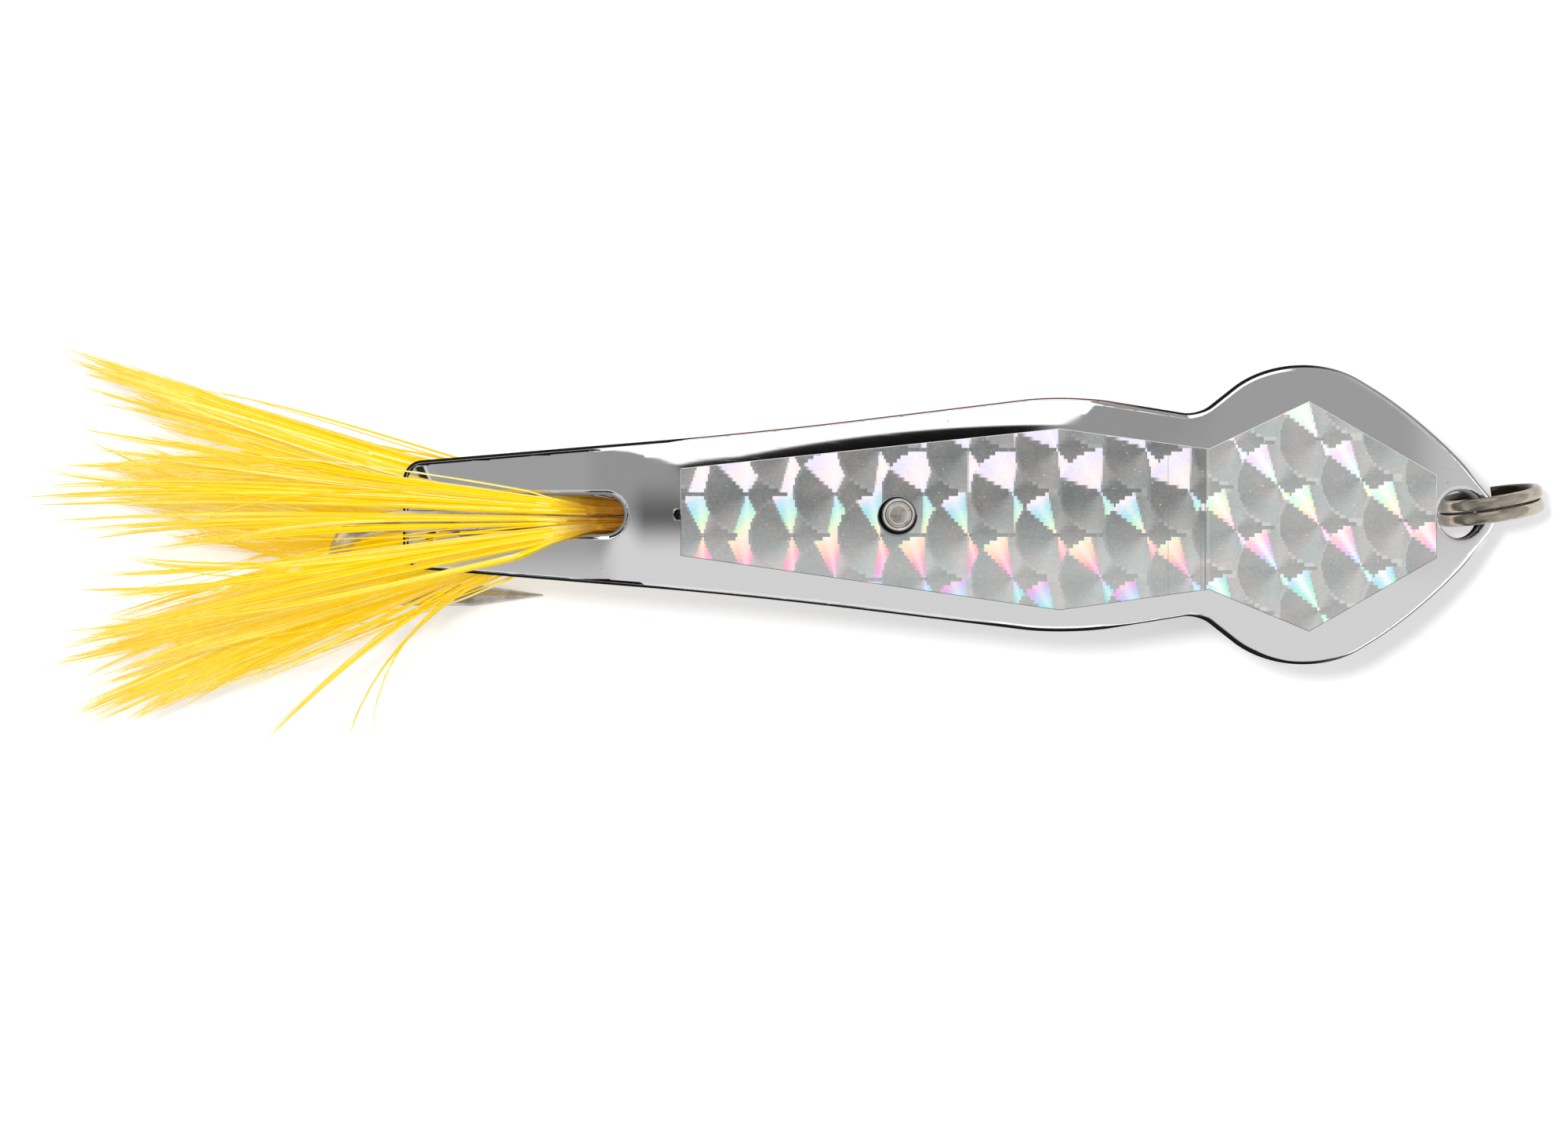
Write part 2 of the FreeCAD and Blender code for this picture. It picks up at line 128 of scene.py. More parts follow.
def profile(x):
    """Height of the blade's front face along its middle line."""
    fall = x * x / (2 * MIDDLE_R) + TAIL_SLOPE * bend(-x - TAIL_BEND_AT, TAIL_BEND_LEN)
    for side, start, length, degrees in BENDS:
        fall += math.tan(math.radians(degrees)) * bend(side * x - start, length)
    return -fall


def front(x, y):
    """Height of the blade's front face."""
    tail_end = 1 - ease((x - CROWN_FROM) / CROWN_RAMP)
    head_end = 1 - ease((CROWN_TO - x) / CROWN_RAMP)
    crowned = (1 - tail_end) * (1 - head_end)
    return profile(x) - y * y * (CROWN * crowned / BELLY_HALF ** 2 + TAIL_CAMBER * tail_end
                                 + HEAD_CAMBER * head_end)


def front_normal(x, y, flat):
    """A normal of the flat plate once the plate takes the blade's shape."""
    step = 0.01
    slope_x = (front(x + step, y) - front(x - step, y)) / (2 * step)
    slope_y = (front(x, y + step) - front(x, y - step)) / (2 * step)
    return Vector((flat.x - slope_x * flat.z, flat.y - slope_y * flat.z, flat.z)).normalized()


# ---- mesh helpers

def placed(name, data):
    """An object in the scene."""
    thing = bpy.data.objects.new(name, data)
    bpy.context.scene.collection.objects.link(thing)
    return thing


def show(name, mesh, body, material, replaced):
    """Place a finished mesh as a piece that rides on a body and stands for a CAD node."""
    piece = placed(name, mesh)
    mesh.materials.append(material)
    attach(piece, body)
    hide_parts(replaced)


def finished(bm, name):
    """The mesh that a bmesh has become."""
    mesh = bpy.data.meshes.new(name)
    bm.to_mesh(mesh)
    bm.free()
    return mesh


def give(mesh, attribute, values):
    """Store one number for each of the mesh's points."""
    mesh.attributes.new(attribute, "FLOAT", "POINT").data.foreach_set("value", values)


def whole(bm):
    return bm.verts[:] + bm.edges[:] + bm.faces[:]


def close_up(bm, gap=SAME):
    """Merge points that are one, and turn every face outwards."""
    bmesh.ops.remove_doubles(bm, verts=bm.verts, dist=gap)
    bmesh.ops.recalc_face_normals(bm, faces=bm.faces)


def flat_half(corners):
    """A bmesh with one flat face: straight runs, each corner (x, y, reach) rounded."""
    bm = bmesh.new()
    verts = [bm.verts.new((x, y, 0)) for x, y, reach in corners]
    bm.faces.new(verts)
    for vert, (x, y, reach) in zip(verts, corners):
        if reach > 0:
            segments = max(4, min(28, int(reach / 0.14)))
            bmesh.ops.bevel(bm, geom=[vert], offset=reach, offset_type="OFFSET",
                            affect="VERTICES", segments=segments, profile=0.5, material=-1)
    return bm


def half_hole(start, stop, middle_y, half, share_round=NEARLY_ALL):
    """Half of a hole or slot on an outline: its two corners rounded by a share of its half."""
    reach = abs(half) * share_round
    return [(start, middle_y, 0), (start, middle_y + half, reach),
            (stop, middle_y + half, reach), (stop, middle_y, 0)]


def reach_of(before, here, after, r):
    """How far from a corner an arc of radius r starts."""
    here = Vector(here[:2])
    one, two = Vector(before[:2]) - here, Vector(after[:2]) - here
    return r / math.tan(one.angle(two) / 2)


def thicken(bm, thick, edge_r, back_r, y_cut):
    """Give a flat half-plate its thickness and rounded rims, open along its cut at y_cut."""
    grown = bmesh.ops.extrude_face_region(bm, geom=bm.faces[:])
    low = [v for v in grown["geom"] if isinstance(v, bmesh.types.BMVert)]
    bmesh.ops.translate(bm, verts=low, vec=(0, 0, -thick))
    bmesh.ops.recalc_face_normals(bm, faces=bm.faces)
    on_cut = [f for f in bm.faces if all(abs(v.co.y - y_cut) < ON_CUT for v in f.verts)]
    bmesh.ops.delete(bm, geom=on_cut, context="FACES_ONLY")
    loose = [e for e in bm.edges if not e.link_faces]
    bmesh.ops.delete(bm, geom=loose, context="EDGES")
    for level, r, segments in ((0, edge_r, 5), (-thick, back_r, 3)):
        rim = [e for e in bm.edges if len(e.link_faces) == 2
               and all(abs(v.co.z - level) < ON_CUT for v in e.verts)
               and any(abs(f.normal.z) < 0.5 for f in e.link_faces)]
        bmesh.ops.bevel(bm, geom=rim, offset=r, offset_type="OFFSET", affect="EDGES",
                        segments=segments, profile=0.5, material=-1)


def slice_grid(bm, xs, ys):
    """Cut a mesh along lines of constant x and of constant y, so that it can be bent."""
    for axis, places in (((1, 0, 0), xs), ((0, 1, 0), ys)):
        for place in places:
            bmesh.ops.bisect_plane(bm, geom=whole(bm), plane_co=Vector(axis) * place,
                                   plane_no=axis)


def steps(start, stop, step):
    count = max(1, round((stop - start) / step))
    return [start + (stop - start) * i / count for i in range(count + 1)]


def lay_plate(bm, name, thick, lift, tilt_at=None):
    """Bend a flat plate onto the blade's front face and give it smooth normals and a plan UV.

    Near tilt_at the plate's walls lean, since the hole there is punched square to the plate.
    """
    plan = bm.loops.layers.uv.new("plan")
    for face in bm.faces:
        face.smooth = True
        for loop in face.loops:
            loop[plan].uv = loop.vert.co.xy
    bm.normal_update()
    depths = [-vert.co.z for vert in bm.verts]
    normals = []
    for vert in bm.verts:
        x, y, z = vert.co
        flat = vert.normal.copy()
        if z > -ON_CUT:
            flat = Vector((0, 0, 1))
        elif z < -thick + ON_CUT:
            flat = Vector((0, 0, -1))
        if tilt_at is not None:
            near = 1 - ease((math.hypot(x - tilt_at, y) - 2.6) / 1.4)
            x += near * z * 0.42
        dip = math.hypot(x - DIMPLE_AT, y) / DIMPLE_R if lift == 0 and z > -ON_CUT else 2.0
        dent = DIMPLE_DEEP * (1 - dip * dip) if dip < 1 else 0.0
        normals.append(front_normal(x, y, flat) if dent == 0 else
                       Vector((-(x - DIMPLE_AT), -y, DIMPLE_R)).normalized())
        vert.co = (x, y, front(x, y) + z + lift - dent)
    mesh = finished(bm, name)
    give(mesh, "depth", depths)
    mesh.transform(LAY)
    turn = LAY.to_3x3().normalized()
    mesh.normals_split_custom_set_from_vertices([turn @ n for n in normals])
    return mesh


def spun(name, outline):
    """A turned solid: the outline's (radius, height) points spun about the blade's Z."""
    bm = bmesh.new()
    verts = [bm.verts.new((r, 0, z)) for r, z in outline]
    edges = [bm.edges.new(pair) for pair in zip(verts, verts[1:])]
    bmesh.ops.spin(bm, geom=verts + edges, cent=(0, 0, 0), axis=(0, 0, 1),
                   angle=math.tau, steps=72, use_merge=True)
    close_up(bm, 1e-5)
    for face in bm.faces:
        face.smooth = True
    mesh = finished(bm, name)
    mesh.transform(LAY)
    return mesh


def strands(name, paths, radii, tints):
    """One mesh of many thin tapered strands, with each strand's tint and its run along."""
    curve = bpy.data.curves.new(name, "CURVE")
    curve.dimensions = "3D"
    curve.bevel_depth = 1.0
    curve.bevel_resolution = 0
    curve.use_fill_caps = False
    for path, radius in zip(paths, radii):
        spline = curve.splines.new("POLY")
        spline.points.add(len(path) - 1)
        flat = np.ones((len(path), 4))
        flat[:, :3] = path
        spline.points.foreach_set("co", flat.ravel())
        spline.points.foreach_set("radius", radius)
    holder = bpy.data.objects.new(name, curve)
    mesh = bpy.data.meshes.new_from_object(holder)
    bpy.data.objects.remove(holder)
    bpy.data.curves.remove(curve)
    ring = len(mesh.vertices) // sum(len(path) for path in paths)
    give(mesh, "tint", np.concatenate(
        [np.full(len(path) * ring, value) for path, value in zip(paths, tints)]))
    give(mesh, "run", np.concatenate(
        [np.repeat(np.linspace(0, 1, len(path)), ring) for path in paths]))
    mesh.polygons.foreach_set("use_smooth", [True] * len(mesh.polygons))
    mesh.transform(LAY)
    return mesh


# ---- shader maths

def plain(operation):
    """A method of Value that puts itself and others through a Math node."""
    return lambda value, *others: value.math(operation, value, *others)


def reflected(operation):
    """The same for the form in which the value stands on the right."""
    return lambda value, other: value.math(operation, other, value)


class Value:
    """An output of a shader node that Python expressions can use."""

    def __init__(self, sheet, socket):
        self.sheet, self.socket = sheet, socket

    def math(self, operation, *values):
        return self.sheet.node("Math", {"operation": operation}, values)

    __add__, __radd__ = plain("ADD"), reflected("ADD")
    __sub__, __rsub__ = plain("SUBTRACT"), reflected("SUBTRACT")
    __mul__, __rmul__ = plain("MULTIPLY"), reflected("MULTIPLY")
    __truediv__, __pow__ = plain("DIVIDE"), plain("POWER")
    __lt__, __gt__ = plain("LESS_THAN"), plain("GREATER_THAN")
    __abs__, floor, cos = plain("ABSOLUTE"), plain("FLOOR"), plain("COSINE")
    least, most = plain("MINIMUM"), plain("MAXIMUM")
    modulo, arctan2 = plain("FLOORED_MODULO"), plain("ARCTAN2")


class Sheet:
    """The node tree of a material or of the world."""

    def __init__(self, owner):
        owner.use_nodes = True
        self.tree = owner.node_tree
        self.tree.nodes.clear()

    def node(self, kind, settings=None, values=(), output=0):
        """Add a node: its settings first, then its sockets' values or links."""
        made = self.tree.nodes.new("ShaderNode" + kind)
        for key, setting in (settings or {}).items():
            if key == "stops":
                ramp = made.color_ramp
                while len(ramp.elements) < len(setting):
                    ramp.elements.new(1.0)
                for element, (place, colour) in zip(ramp.elements, setting):
                    element.position, element.color = place, (*colour, 1.0)
            else:
                setattr(made, key, setting)
        pairs = values.items() if isinstance(values, dict) else enumerate(values)
        for key, value in pairs:
            socket = made.inputs[key]
            if isinstance(value, Value):
                self.tree.links.new(value.socket, socket)
            else:
                socket.default_value = value
        return Value(self, made.outputs[output]) if made.outputs else None

    def mix(self, factor, one, two):
        """A colour between one and two."""
        values = {0: factor, 6: self.colour(one), 7: self.colour(two)}
        return self.node("Mix", {"data_type": "RGBA"}, values, 2)

    @staticmethod
    def colour(value):
        """A socket's value for a colour; a plain number is a grey."""
        if isinstance(value, Value):
            return value
        return (value, value, value, 1.0) if isinstance(value, float) else (*value[:3], 1.0)

    def coats(self, tone, *coats):
        """A colour under coats, each a share of cover and a colour."""
        for cover, colour in coats:
            tone = self.mix(cover, tone, colour)
        return tone

    def blend(self, factor, one, two):
        """A number between one and two."""
        return self.node("Mix", {"data_type": "FLOAT"}, {0: factor, 2: one, 3: two})

    def smooth(self, value, low, high):
        """0 below low, 1 above high, and smooth between."""
        settings = {"interpolation_type": "SMOOTHSTEP"}
        return self.node("MapRange", settings, (value, low, high, 0.0, 1.0))

    def fade(self, value, low, high):
        """1 below low, 0 above high, and smooth between."""
        return 1 - self.smooth(value, low, high)

    def band(self, value, low, high, soft):
        """1 between low and high, with soft sides."""
        return self.smooth(value, low - soft, low + soft) * self.fade(
            value, high - soft, high + soft)

    def place(self, stretch=1.0, turn=0.0):
        """The piece's own coordinates in millimetres, stretched, and turned about Z."""
        stretch = (stretch,) * 3 if isinstance(stretch, float) else stretch
        return self.node("Mapping", {}, {
            "Vector": self.node("TexCoord", output=3), "Rotation": (0, 0, turn),
            "Scale": tuple(s / MM for s in stretch)})

    def noise(self, stretch, scale, detail, rough=0.5, turn=0.0):
        return self.node("TexNoise", {}, {"Vector": self.place(stretch, turn),
                                          "Scale": scale, "Detail": detail, "Roughness": rough})

    def plan(self):
        """The blade's own x and y, in millimetres, from a piece's plan UV."""
        plan = self.node("UVMap", {"uv_map": "plan"})
        x = self.node("SeparateXYZ", {}, [plan])
        return x, Value(self, x.socket.node.outputs[1])

    def attribute(self, name):
        """A number stored on the mesh's points."""
        return self.node("Attribute", {"attribute_name": name}, output=2)

    @staticmethod
    def far(x, y):
        """Length of the vector (x, y)."""
        return (x * x + y * y) ** 0.5

    def ramp(self, at, low, high, stops):
        """The colour at a place between low and high, from (place, colour) stops."""
        stops = [((place - low) / (high - low), colour) for place, colour in stops]
        return self.node("ValToRGB", {"stops": stops}, [(at - low) * (1 / (high - low))])

    def bump(self, height, strength, distance):
        return self.node("Bump", {}, {"Strength": strength, "Distance": distance,
                                      "Height": height})

    def surface(self, shader_values):
        shader = self.node("BsdfPrincipled", {}, shader_values)
        self.node("OutputMaterial", {}, {"Surface": shader})


def new_material(name):
    material = bpy.data.materials.new(name)
    return material, Sheet(material)


# where on its rounding each rim's painted dark reflection starts, along the upper and the lower
# rims
UPPER_RIM = [(-41.0, 0.12), (-18.5, 0.12), (-17.0, 0.32), (14.0, 0.32), (18.0, 0.22),
             (24.0, 0.20), (25.5, 0.07), (31.0, 0.10), (34.0, 0.15)]
LOWER_RIM = [(-41.0, 0.16), (-19.0, 0.16), (-17.0, 0.24), (3.0, 0.24), (8.0, 0.10),
             (16.5, 0.10), (19.0, 0.36), (23.0, 0.36), (25.0, 0.0), (29.0, 0.0),
             (31.5, 0.12), (35.0, 0.12), (37.0, 0.42)]


def chrome_plate(settings):
    """Bright plating with wipe marks and dull specks; painted dark reflection on its rims and side
    walls, a painted highlight inside the rims and painted shade in the dimple.
    """
    material, sheet = new_material("chrome_plate")
    wipes = sheet.noise((0.3, 5.0, 5.0), 1.0, 3.0, turn=0.35)
    specks = sheet.smooth(sheet.noise(1.0, 2.2, 2.0), 0.76, 0.8)
    depth = sheet.attribute("depth")
    x, y = sheet.plan()
    rim = settings.edge_round
    nose = sheet.smooth(x, 33.0, 37.0)
    upper = y > 0.0
    # painted reflection: each rim is painted dark from a start on its rounding listed along the
    # blade; near black, brown along the body's upper rim, grey at the nose and round the slot
    starts = sheet.blend(upper, *(
        sheet.ramp(x, -41.0, 50.0, [(at, (start,) * 3) for at, start in stops])
        for stops in (LOWER_RIM, UPPER_RIM)))
    over = depth / rim - starts
    rim_dark_reflection = sheet.smooth(over, 0.0, 0.06)
    brown = sheet.band(x, -17.0, 19.0, 1.0) * upper
    slot = sheet.band(x, SLOT_TO - 1.0, SLOT_FROM + 3.0, 0.1) * (abs(y) < SLOT_HALF + 0.8)
    rim_reflection_tone = sheet.coats(0.012, (brown, (0.16, 0.09, 0.065)),
                       (nose, sheet.mix(upper, 0.11, 0.25)), (slot * 0.6, 0.4))
    # painted reflection: the side walls are painted near black
    wall_dark_reflection = sheet.smooth(depth, rim * 0.8, rim + 0.05) * (1 - nose * upper * 0.7)
    rough = settings.roughness + 0.03 * sheet.smooth(wipes, 0.6, 0.85) + 0.2 * specks
    marks = sheet.smooth(sheet.noise((0.5, 1.0, 1.0), 1.3, 5.0, 0.7, 0.9), 0.62, 0.66)
    marks = marks * sheet.band(x, 42.6, 47.5, 0.4) * sheet.smooth(y, 1.8, 2.6)
    # painted shade: the dimple is painted near black
    dent = sheet.fade(sheet.far(x - DIMPLE_AT, y), DIMPLE_R * 0.8, DIMPLE_R * 1.1)
    # the shadow in the gap between the rivet's head and the decal
    gap = sheet.fade(sheet.far(x + 0.08, y + 0.08), 1.5, 1.6)
    # a painted highlight: a bright line inside the painted dark rim, wide at the head's upper
    # shoulder
    glint = sheet.band(x, 7.0, 23.0, 1.0) * sheet.band(over, -0.07, 0.0, 0.02) * (y < 0.0)
    glint = glint.most(sheet.band(x, 25.6, 31.5, 1.0) * upper * sheet.smooth(depth, 0.002, 0.01))
    bare = 1 - glint.most(rim_dark_reflection).most(wall_dark_reflection)
    tone = sheet.coats(settings.colour, (specks * 0.4, 0.4), (marks * 0.45, (0.3, 0.3, 0.29)),
                       (dent.most(gap), (0.025, 0.02, 0.02)), (glint, 1.0), (rim_dark_reflection, rim_reflection_tone),
                       (wall_dark_reflection, 0.01))
    sheet.surface({"Base Color": tone, "Metallic": bare, "Roughness": rough + 0.8 * (1 - bare),
                   "Specular IOR Level": 0.0})
    return material


def worn_metal(name, colour, dark, rough, grain, bump, metallic, sides=False, light_and_shade_rings=()):
    """Drawn or forged metal: streaks, dull patches, pits, painted shade on a wire's sides and
    painted light and shade in bands round the rivet.
    """
    material, sheet = new_material(name)
    streaks = sheet.noise(grain, 1.0, 4.0, 0.6)
    patches = sheet.noise(0.5, 1.0, 3.0)
    pits = sheet.smooth(sheet.noise(1.0, 3.2, 2.0), 0.66, 0.74)
    dull = sheet.smooth(patches, 0.4, 0.7) * 0.6 + sheet.smooth(streaks, 0.5, 0.75) * 0.4
    tone = sheet.mix((dull + pits * 0.4).least(1.0), colour, dark)
    # painted shade: a wire darkens from its outermost line round its sides to its inner face
    if sides:
        side = sheet.attribute("side")
        tone = sheet.mix(sheet.smooth(side + streaks * 0.5, 0.45, 1.05), tone,
                         (0.05, 0.036, 0.026))
    out = sheet.node("VectorMath", {"operation": "DISTANCE"},
                     [sheet.place(), tuple(PIN / MM)], 1) if light_and_shade_rings else 0.0
    # painted highlights and painted shade in bands round the rivet's middle
    for near, end, shade in light_and_shade_rings:
        tone = sheet.mix(sheet.band(out, near, end, 0.02) * 0.8, tone, shade)
    sheet.surface({"Base Color": tone,
                   "Metallic": metallic, "Roughness": rough + dull * 0.12 + pits * 0.15,
                   "Normal": sheet.bump(streaks - pits * 0.5, bump, 0.0001)})
    return material


# colours of the film's painted bow-tie highlights by height on the blade, mm: on the body and on
# the head
BODY_HUES = [(-7.5, (0.32, 0.72, 0.62)), (-6.4, (0.40, 0.75, 0.87)), (-5.3, (0.61, 0.51, 0.87)),
             (-4.4, (0.91, 0.36, 0.64)), (-3.5, (0.95, 0.40, 0.51)), (-2.5, (1.0, 0.61, 0.48)),
             (-1.6, (0.95, 0.75, 0.57)), (-0.9, (0.75, 0.87, 0.55)), (0.0, (0.48, 0.87, 0.68)),
             (0.9, (0.40, 0.75, 0.82)), (1.5, (0.52, 0.75, 0.87)), (2.2, (0.85, 0.80, 0.90)),
             (3.5, (1.0, 0.83, 0.82)), (5.0, (0.82, 0.76, 0.92))]
HEAD_HUES = [(-7.5, (0.45, 0.85, 0.65)), (-5.0, (0.42, 0.85, 0.74)), (-3.8, (0.45, 0.74, 0.90)),
             (-2.8, (0.62, 0.58, 0.92)), (-1.6, (0.94, 0.50, 0.74)), (-0.2, (1.0, 0.60, 0.62)),
             (1.2, (0.95, 0.88, 0.58)), (2.5, (0.66, 0.92, 0.74)), (4.3, (0.80, 0.88, 1.0)),
             (6.0, (0.92, 0.70, 0.92)), (8.0, (0.80, 0.92, 0.82))]


def fan_column(x, y, column, pitch):
    """One column of fans: the reach and the angle from its nearest fan, and that fan's row."""
    wide, high, first_x, first_y, climb = pitch
    odd = column.modulo(2.0)
    middle_x = column * wide + first_x
    base_y = first_y + odd * (high / 2) + column * climb
    middle_y = ((y - base_y) / high + 0.5).floor() * high + base_y
    off_x, off_y = x - middle_x, y - middle_y
    return column.sheet.far(off_x, off_y), off_y.arctan2(off_x), middle_y


def prism_film(settings):
    """Metallised film embossed with overlapping fans, each with a painted rainbow bow-tie
    highlight; painted reflection greys the film, and painted light and shade mark its cut edges.
    """
    material, sheet = new_material("prism_film")
    raw_x, raw_y = sheet.plan()
    dot = settings.dot
    x = ((raw_x / dot).floor() + 0.5) * dot
    y = ((raw_y / (2 * dot)).floor() + 0.5) * (2 * dot)
    radius = settings.fan_radius
    head = x > settings.head_from
    wide = sheet.blend(head, settings.body_pitch, settings.head_pitch)
    first_x, first_y, climb = (sheet.blend(head, on_body, on_head) for on_body, on_head
                               in ((-15.875, 27.27), (-1.8, -1.24), (0.02, 0.19)))
    pitch = (wide, settings.fan_high, first_x, first_y, climb)
    column = ((x - first_x) / wide).floor()
    angle, reach, row = 0.0, 0.0, 0.0
    for ahead in (-1, 0, 1, 2):
        far, here, middle = fan_column(x, y, column + ahead, pitch)
        inside = far < radius
        angle = sheet.blend(inside, angle, here)
        reach = sheet.blend(inside, reach, far)
        row = sheet.blend(inside, row, middle)
    # the painted bow-tie highlights lean over from column to column, as the blade bends away, and
    # get narrower
    lean = ((raw_x + 10.0) * (1 / 24.0)).most(0.0).least(1.0)
    lag = ((raw_x + 14.0) * (1 / 44.0)).most(0.0).least(1.0)
    above = angle > 0.0
    aim = sheet.blend(above, lag * 0.60 - 1.53, 1.66 + lean * 0.50)
    high = sheet.smooth(row, 0.6, 1.2) * (1 - head)
    width = sheet.blend(above, 0.40 - lag * 0.14, (0.40 - lag * 0.05) * (1 + high * 0.9))
    off = (angle - aim) / width
    glow = sheet.fade(abs(off), 0.85, 1.0)
    # colour runs down the blade, and a little across each bow-tie
    level = raw_y - reach * angle.cos() * 0.7
    hue = sheet.mix(head, sheet.ramp(level, -7.5, 5.0, BODY_HUES),
                    sheet.ramp(level, -7.5, 8.0, HEAD_HUES))
    grain = sheet.noise(4.0, 1.0, 2.0)
    speck = sheet.smooth(sheet.noise(1.0, 4.5, 1.0), 0.72, 0.8)
    cloud = sheet.noise(0.4, 1.0, 2.0)
    # painted reflection: the grey of each fan varies round its middle, and the film's grey runs
    # lighter towards its lower edge
    side = (angle * 2.0 + 0.25).cos()
    sweep = side * -0.06 + (angle * 4.0 + 1.0).cos() * 0.025
    fall = sheet.smooth(raw_y + cloud, -3.6, 1.4)
    body = sheet.blend(fall, 0.45, 0.25)
    grey = sheet.blend(head, body, sheet.blend(fall, 0.42, 0.41)) + sweep
    grey = grey + (grain - 0.5) * 0.12 + (cloud - 0.5) * 0.14
    dull = sheet.mix(sheet.smooth(cloud, 0.35, 0.65), (0.93, 1.0, 0.98), (1.0, 0.965, 0.94))
    tinge = sheet.node("Mix", {"data_type": "RGBA", "blend_type": "MULTIPLY"}, {
        0: 1.0, 6: sheet.node("CombineColor", {}, [grey, grey, grey]), 7: dull}, 2)
    # painted highlight: each bow-tie whitens towards its core
    core = sheet.fade(abs(off + 0.1), 0.0, 0.75)
    bow_tie_highlight = sheet.mix(core * sheet.blend(head, 0.42, 0.8), hue, (0.97, 0.96, 0.93))
    rim = sheet.band(reach, radius - 0.2, radius, 0.02) * sheet.blend(head, 0.08, 0.25)
    # a short dark dash at the middle of each fan, and the seams across the neck
    cross = (abs(raw_y - row) < 0.04) * (reach < 0.32)
    seams = [(sheet.fade(abs(raw_x - place), half * 0.4, half) * cover, 0.2) for place, half, cover
             in ((24.8, 0.07, 0.75), (24.45, 0.04, 0.5), (21.8, 0.05, 0.4))]
    pale = sheet.fade(abs(raw_x - 25.05), 0.05, 0.16)
    # painted light and shade on the decal's cut edges: a painted highlight along the upper edge,
    # painted shade along the lower
    edge_light_and_shade = sheet.mix(raw_y > 0.0, 0.12, 0.95)
    tone = sheet.coats(tinge, (glow * (0.80 + 0.30 * grain), bow_tie_highlight), (rim, 0.88),
                       (cross * 0.5, (0.16, 0.15, 0.16)), *seams, (pale * 0.10, 0.9),
                       (speck * 0.5, 0.95), (sheet.smooth(sheet.attribute("depth"), 0.005, 0.03),
                                             edge_light_and_shade))
    sheet.surface({"Base Color": tone, "Metallic": 0.3, "Roughness": 0.38 + grain * 0.1,
                   "Coat Weight": 0.15, "Coat Roughness": 0.2,
                   "Normal": sheet.bump(grain, 0.08, 0.0001)})
    return material


def hackle_dye(settings):
    """Dyed barbs: strong yellow, paler strands and tips, painted shade that turns them deep orange
    at the root, and a painted glow.
    """
    material, sheet = new_material("hackle_dye")
    tint, run = sheet.attribute("tint"), sheet.attribute("run")
    mottle = sheet.noise(1.0, 1.2, 3.0)
    # painted shade: the strands darken to the root colour near the winding, where they lie in the
    # slot
    tone = sheet.coats(settings.colour, (sheet.smooth(tint, 0.25, 0.9), settings.pale),
                       (sheet.smooth(run, 0.6, 1.05) * 0.3, settings.pale),
                       (sheet.fade(run, 0.13, 0.27), settings.root),
                       (sheet.smooth(mottle, 0.5, 0.8) * 0.35, settings.deep))
    # painted glow: the strands emit their own colour, fading out at the root, and their base
    # colour is darkened to make room for it
    sheet.surface({"Base Color": sheet.mix(0.35, tone, 0.0),
                   "Roughness": 0.45 + mottle * 0.2, "Specular IOR Level": 0.25,
                   "Emission Color": sheet.mix(sheet.fade(run, 0.12, 0.24), tone,
                                               (0.10, 0.04, 0.0)),
                   "Emission Strength": settings.glow})
    return material


def waxed_thread(settings):
    material, sheet = new_material("waxed_thread")
    fibre = sheet.noise((9.0, 3.0, 3.0), 1.0, 3.0)
    sheet.surface({"Base Color": sheet.mix(fibre, settings.thread, settings.root),
                   "Roughness": 0.5 + fibre * 0.2,
                   "Normal": sheet.bump(fibre, 0.4, 0.0001)})
    return material


# ---- settings

def size(name, default, about, **limits):
    return FloatProperty(name=name, default=default, description=about, **limits)


def share(name, default, about):
    return size(name, default, about, min=0, max=1, subtype="FACTOR")


def tone_of(name, default, about):
    return FloatVectorProperty(name=name, subtype="COLOR", default=default, description=about,
                               min=0, max=1)


class PlateSettings(PropertyGroup):
    edge_round: size("Edge rounding", 0.48, "Radius of the blade's front edges, mm",
                     min=0.05, max=0.6)
    colour: tone_of("Plating", (0.96, 0.96, 0.965), "Colour of the chrome")
    roughness: share("Roughness", 0.02, "Roughness of clean plating")


class FilmSettings(PropertyGroup):
    body_pitch: size("Body pitch", 3.584, "Distance between columns of fans on the body, mm")
    head_pitch: size("Head pitch", 3.40, "Distance between columns of fans on the head, mm")
    head_from: size("Head from", 24.9, "Seam at which the head's own fans start, mm")
    fan_high: size("Row pitch", 6.95, "Distance between fans of one column, mm")
    fan_radius: size("Fan radius", 3.42, "Radius of each embossed fan, mm")
    dot: size("Dot size", 0.15, "Size of the dots that the emboss is made of, mm")


class HackleSettings(PropertyGroup):
    strands: IntProperty(name="Strands", default=340, min=10, max=900,
                         description="Strands in a full tuft")
    thick: size("Strand radius", 0.085, "Radius of a strand at its thickest, mm")
    colour: tone_of("Yellow", (1.0, 0.675, 0.004), "Main dye")
    deep: tone_of("Deep yellow", (1.0, 0.585, 0.0), "Dye where it took strongly")
    pale: tone_of("Pale yellow", (1.0, 0.86, 0.29), "Dye on the finest strands and tips")
    # painted shade: the strands darken to this colour near the winding; the thread's fibres take
    # it as their second colour
    root: tone_of("Root", (0.42, 0.17, 0.01), "Colour at the winding")
    thread: tone_of("Thread", (0.5, 0.22, 0.03), "Colour of the winding thread")
    # painted glow: strength of the light the strands emit, though they are no lamp
    glow: share("Glow", 0.38, "Light that the thin strands pass on")


class MetalSettings(PropertyGroup):
    hook: tone_of("Hook", (0.60, 0.56, 0.50), "Colour of the hook wire")
    ring: tone_of("Ring", (0.50, 0.445, 0.375), "Colour of the split ring")
    rivet: tone_of("Rivet", (0.58, 0.54, 0.50), "Colour of the rivet")


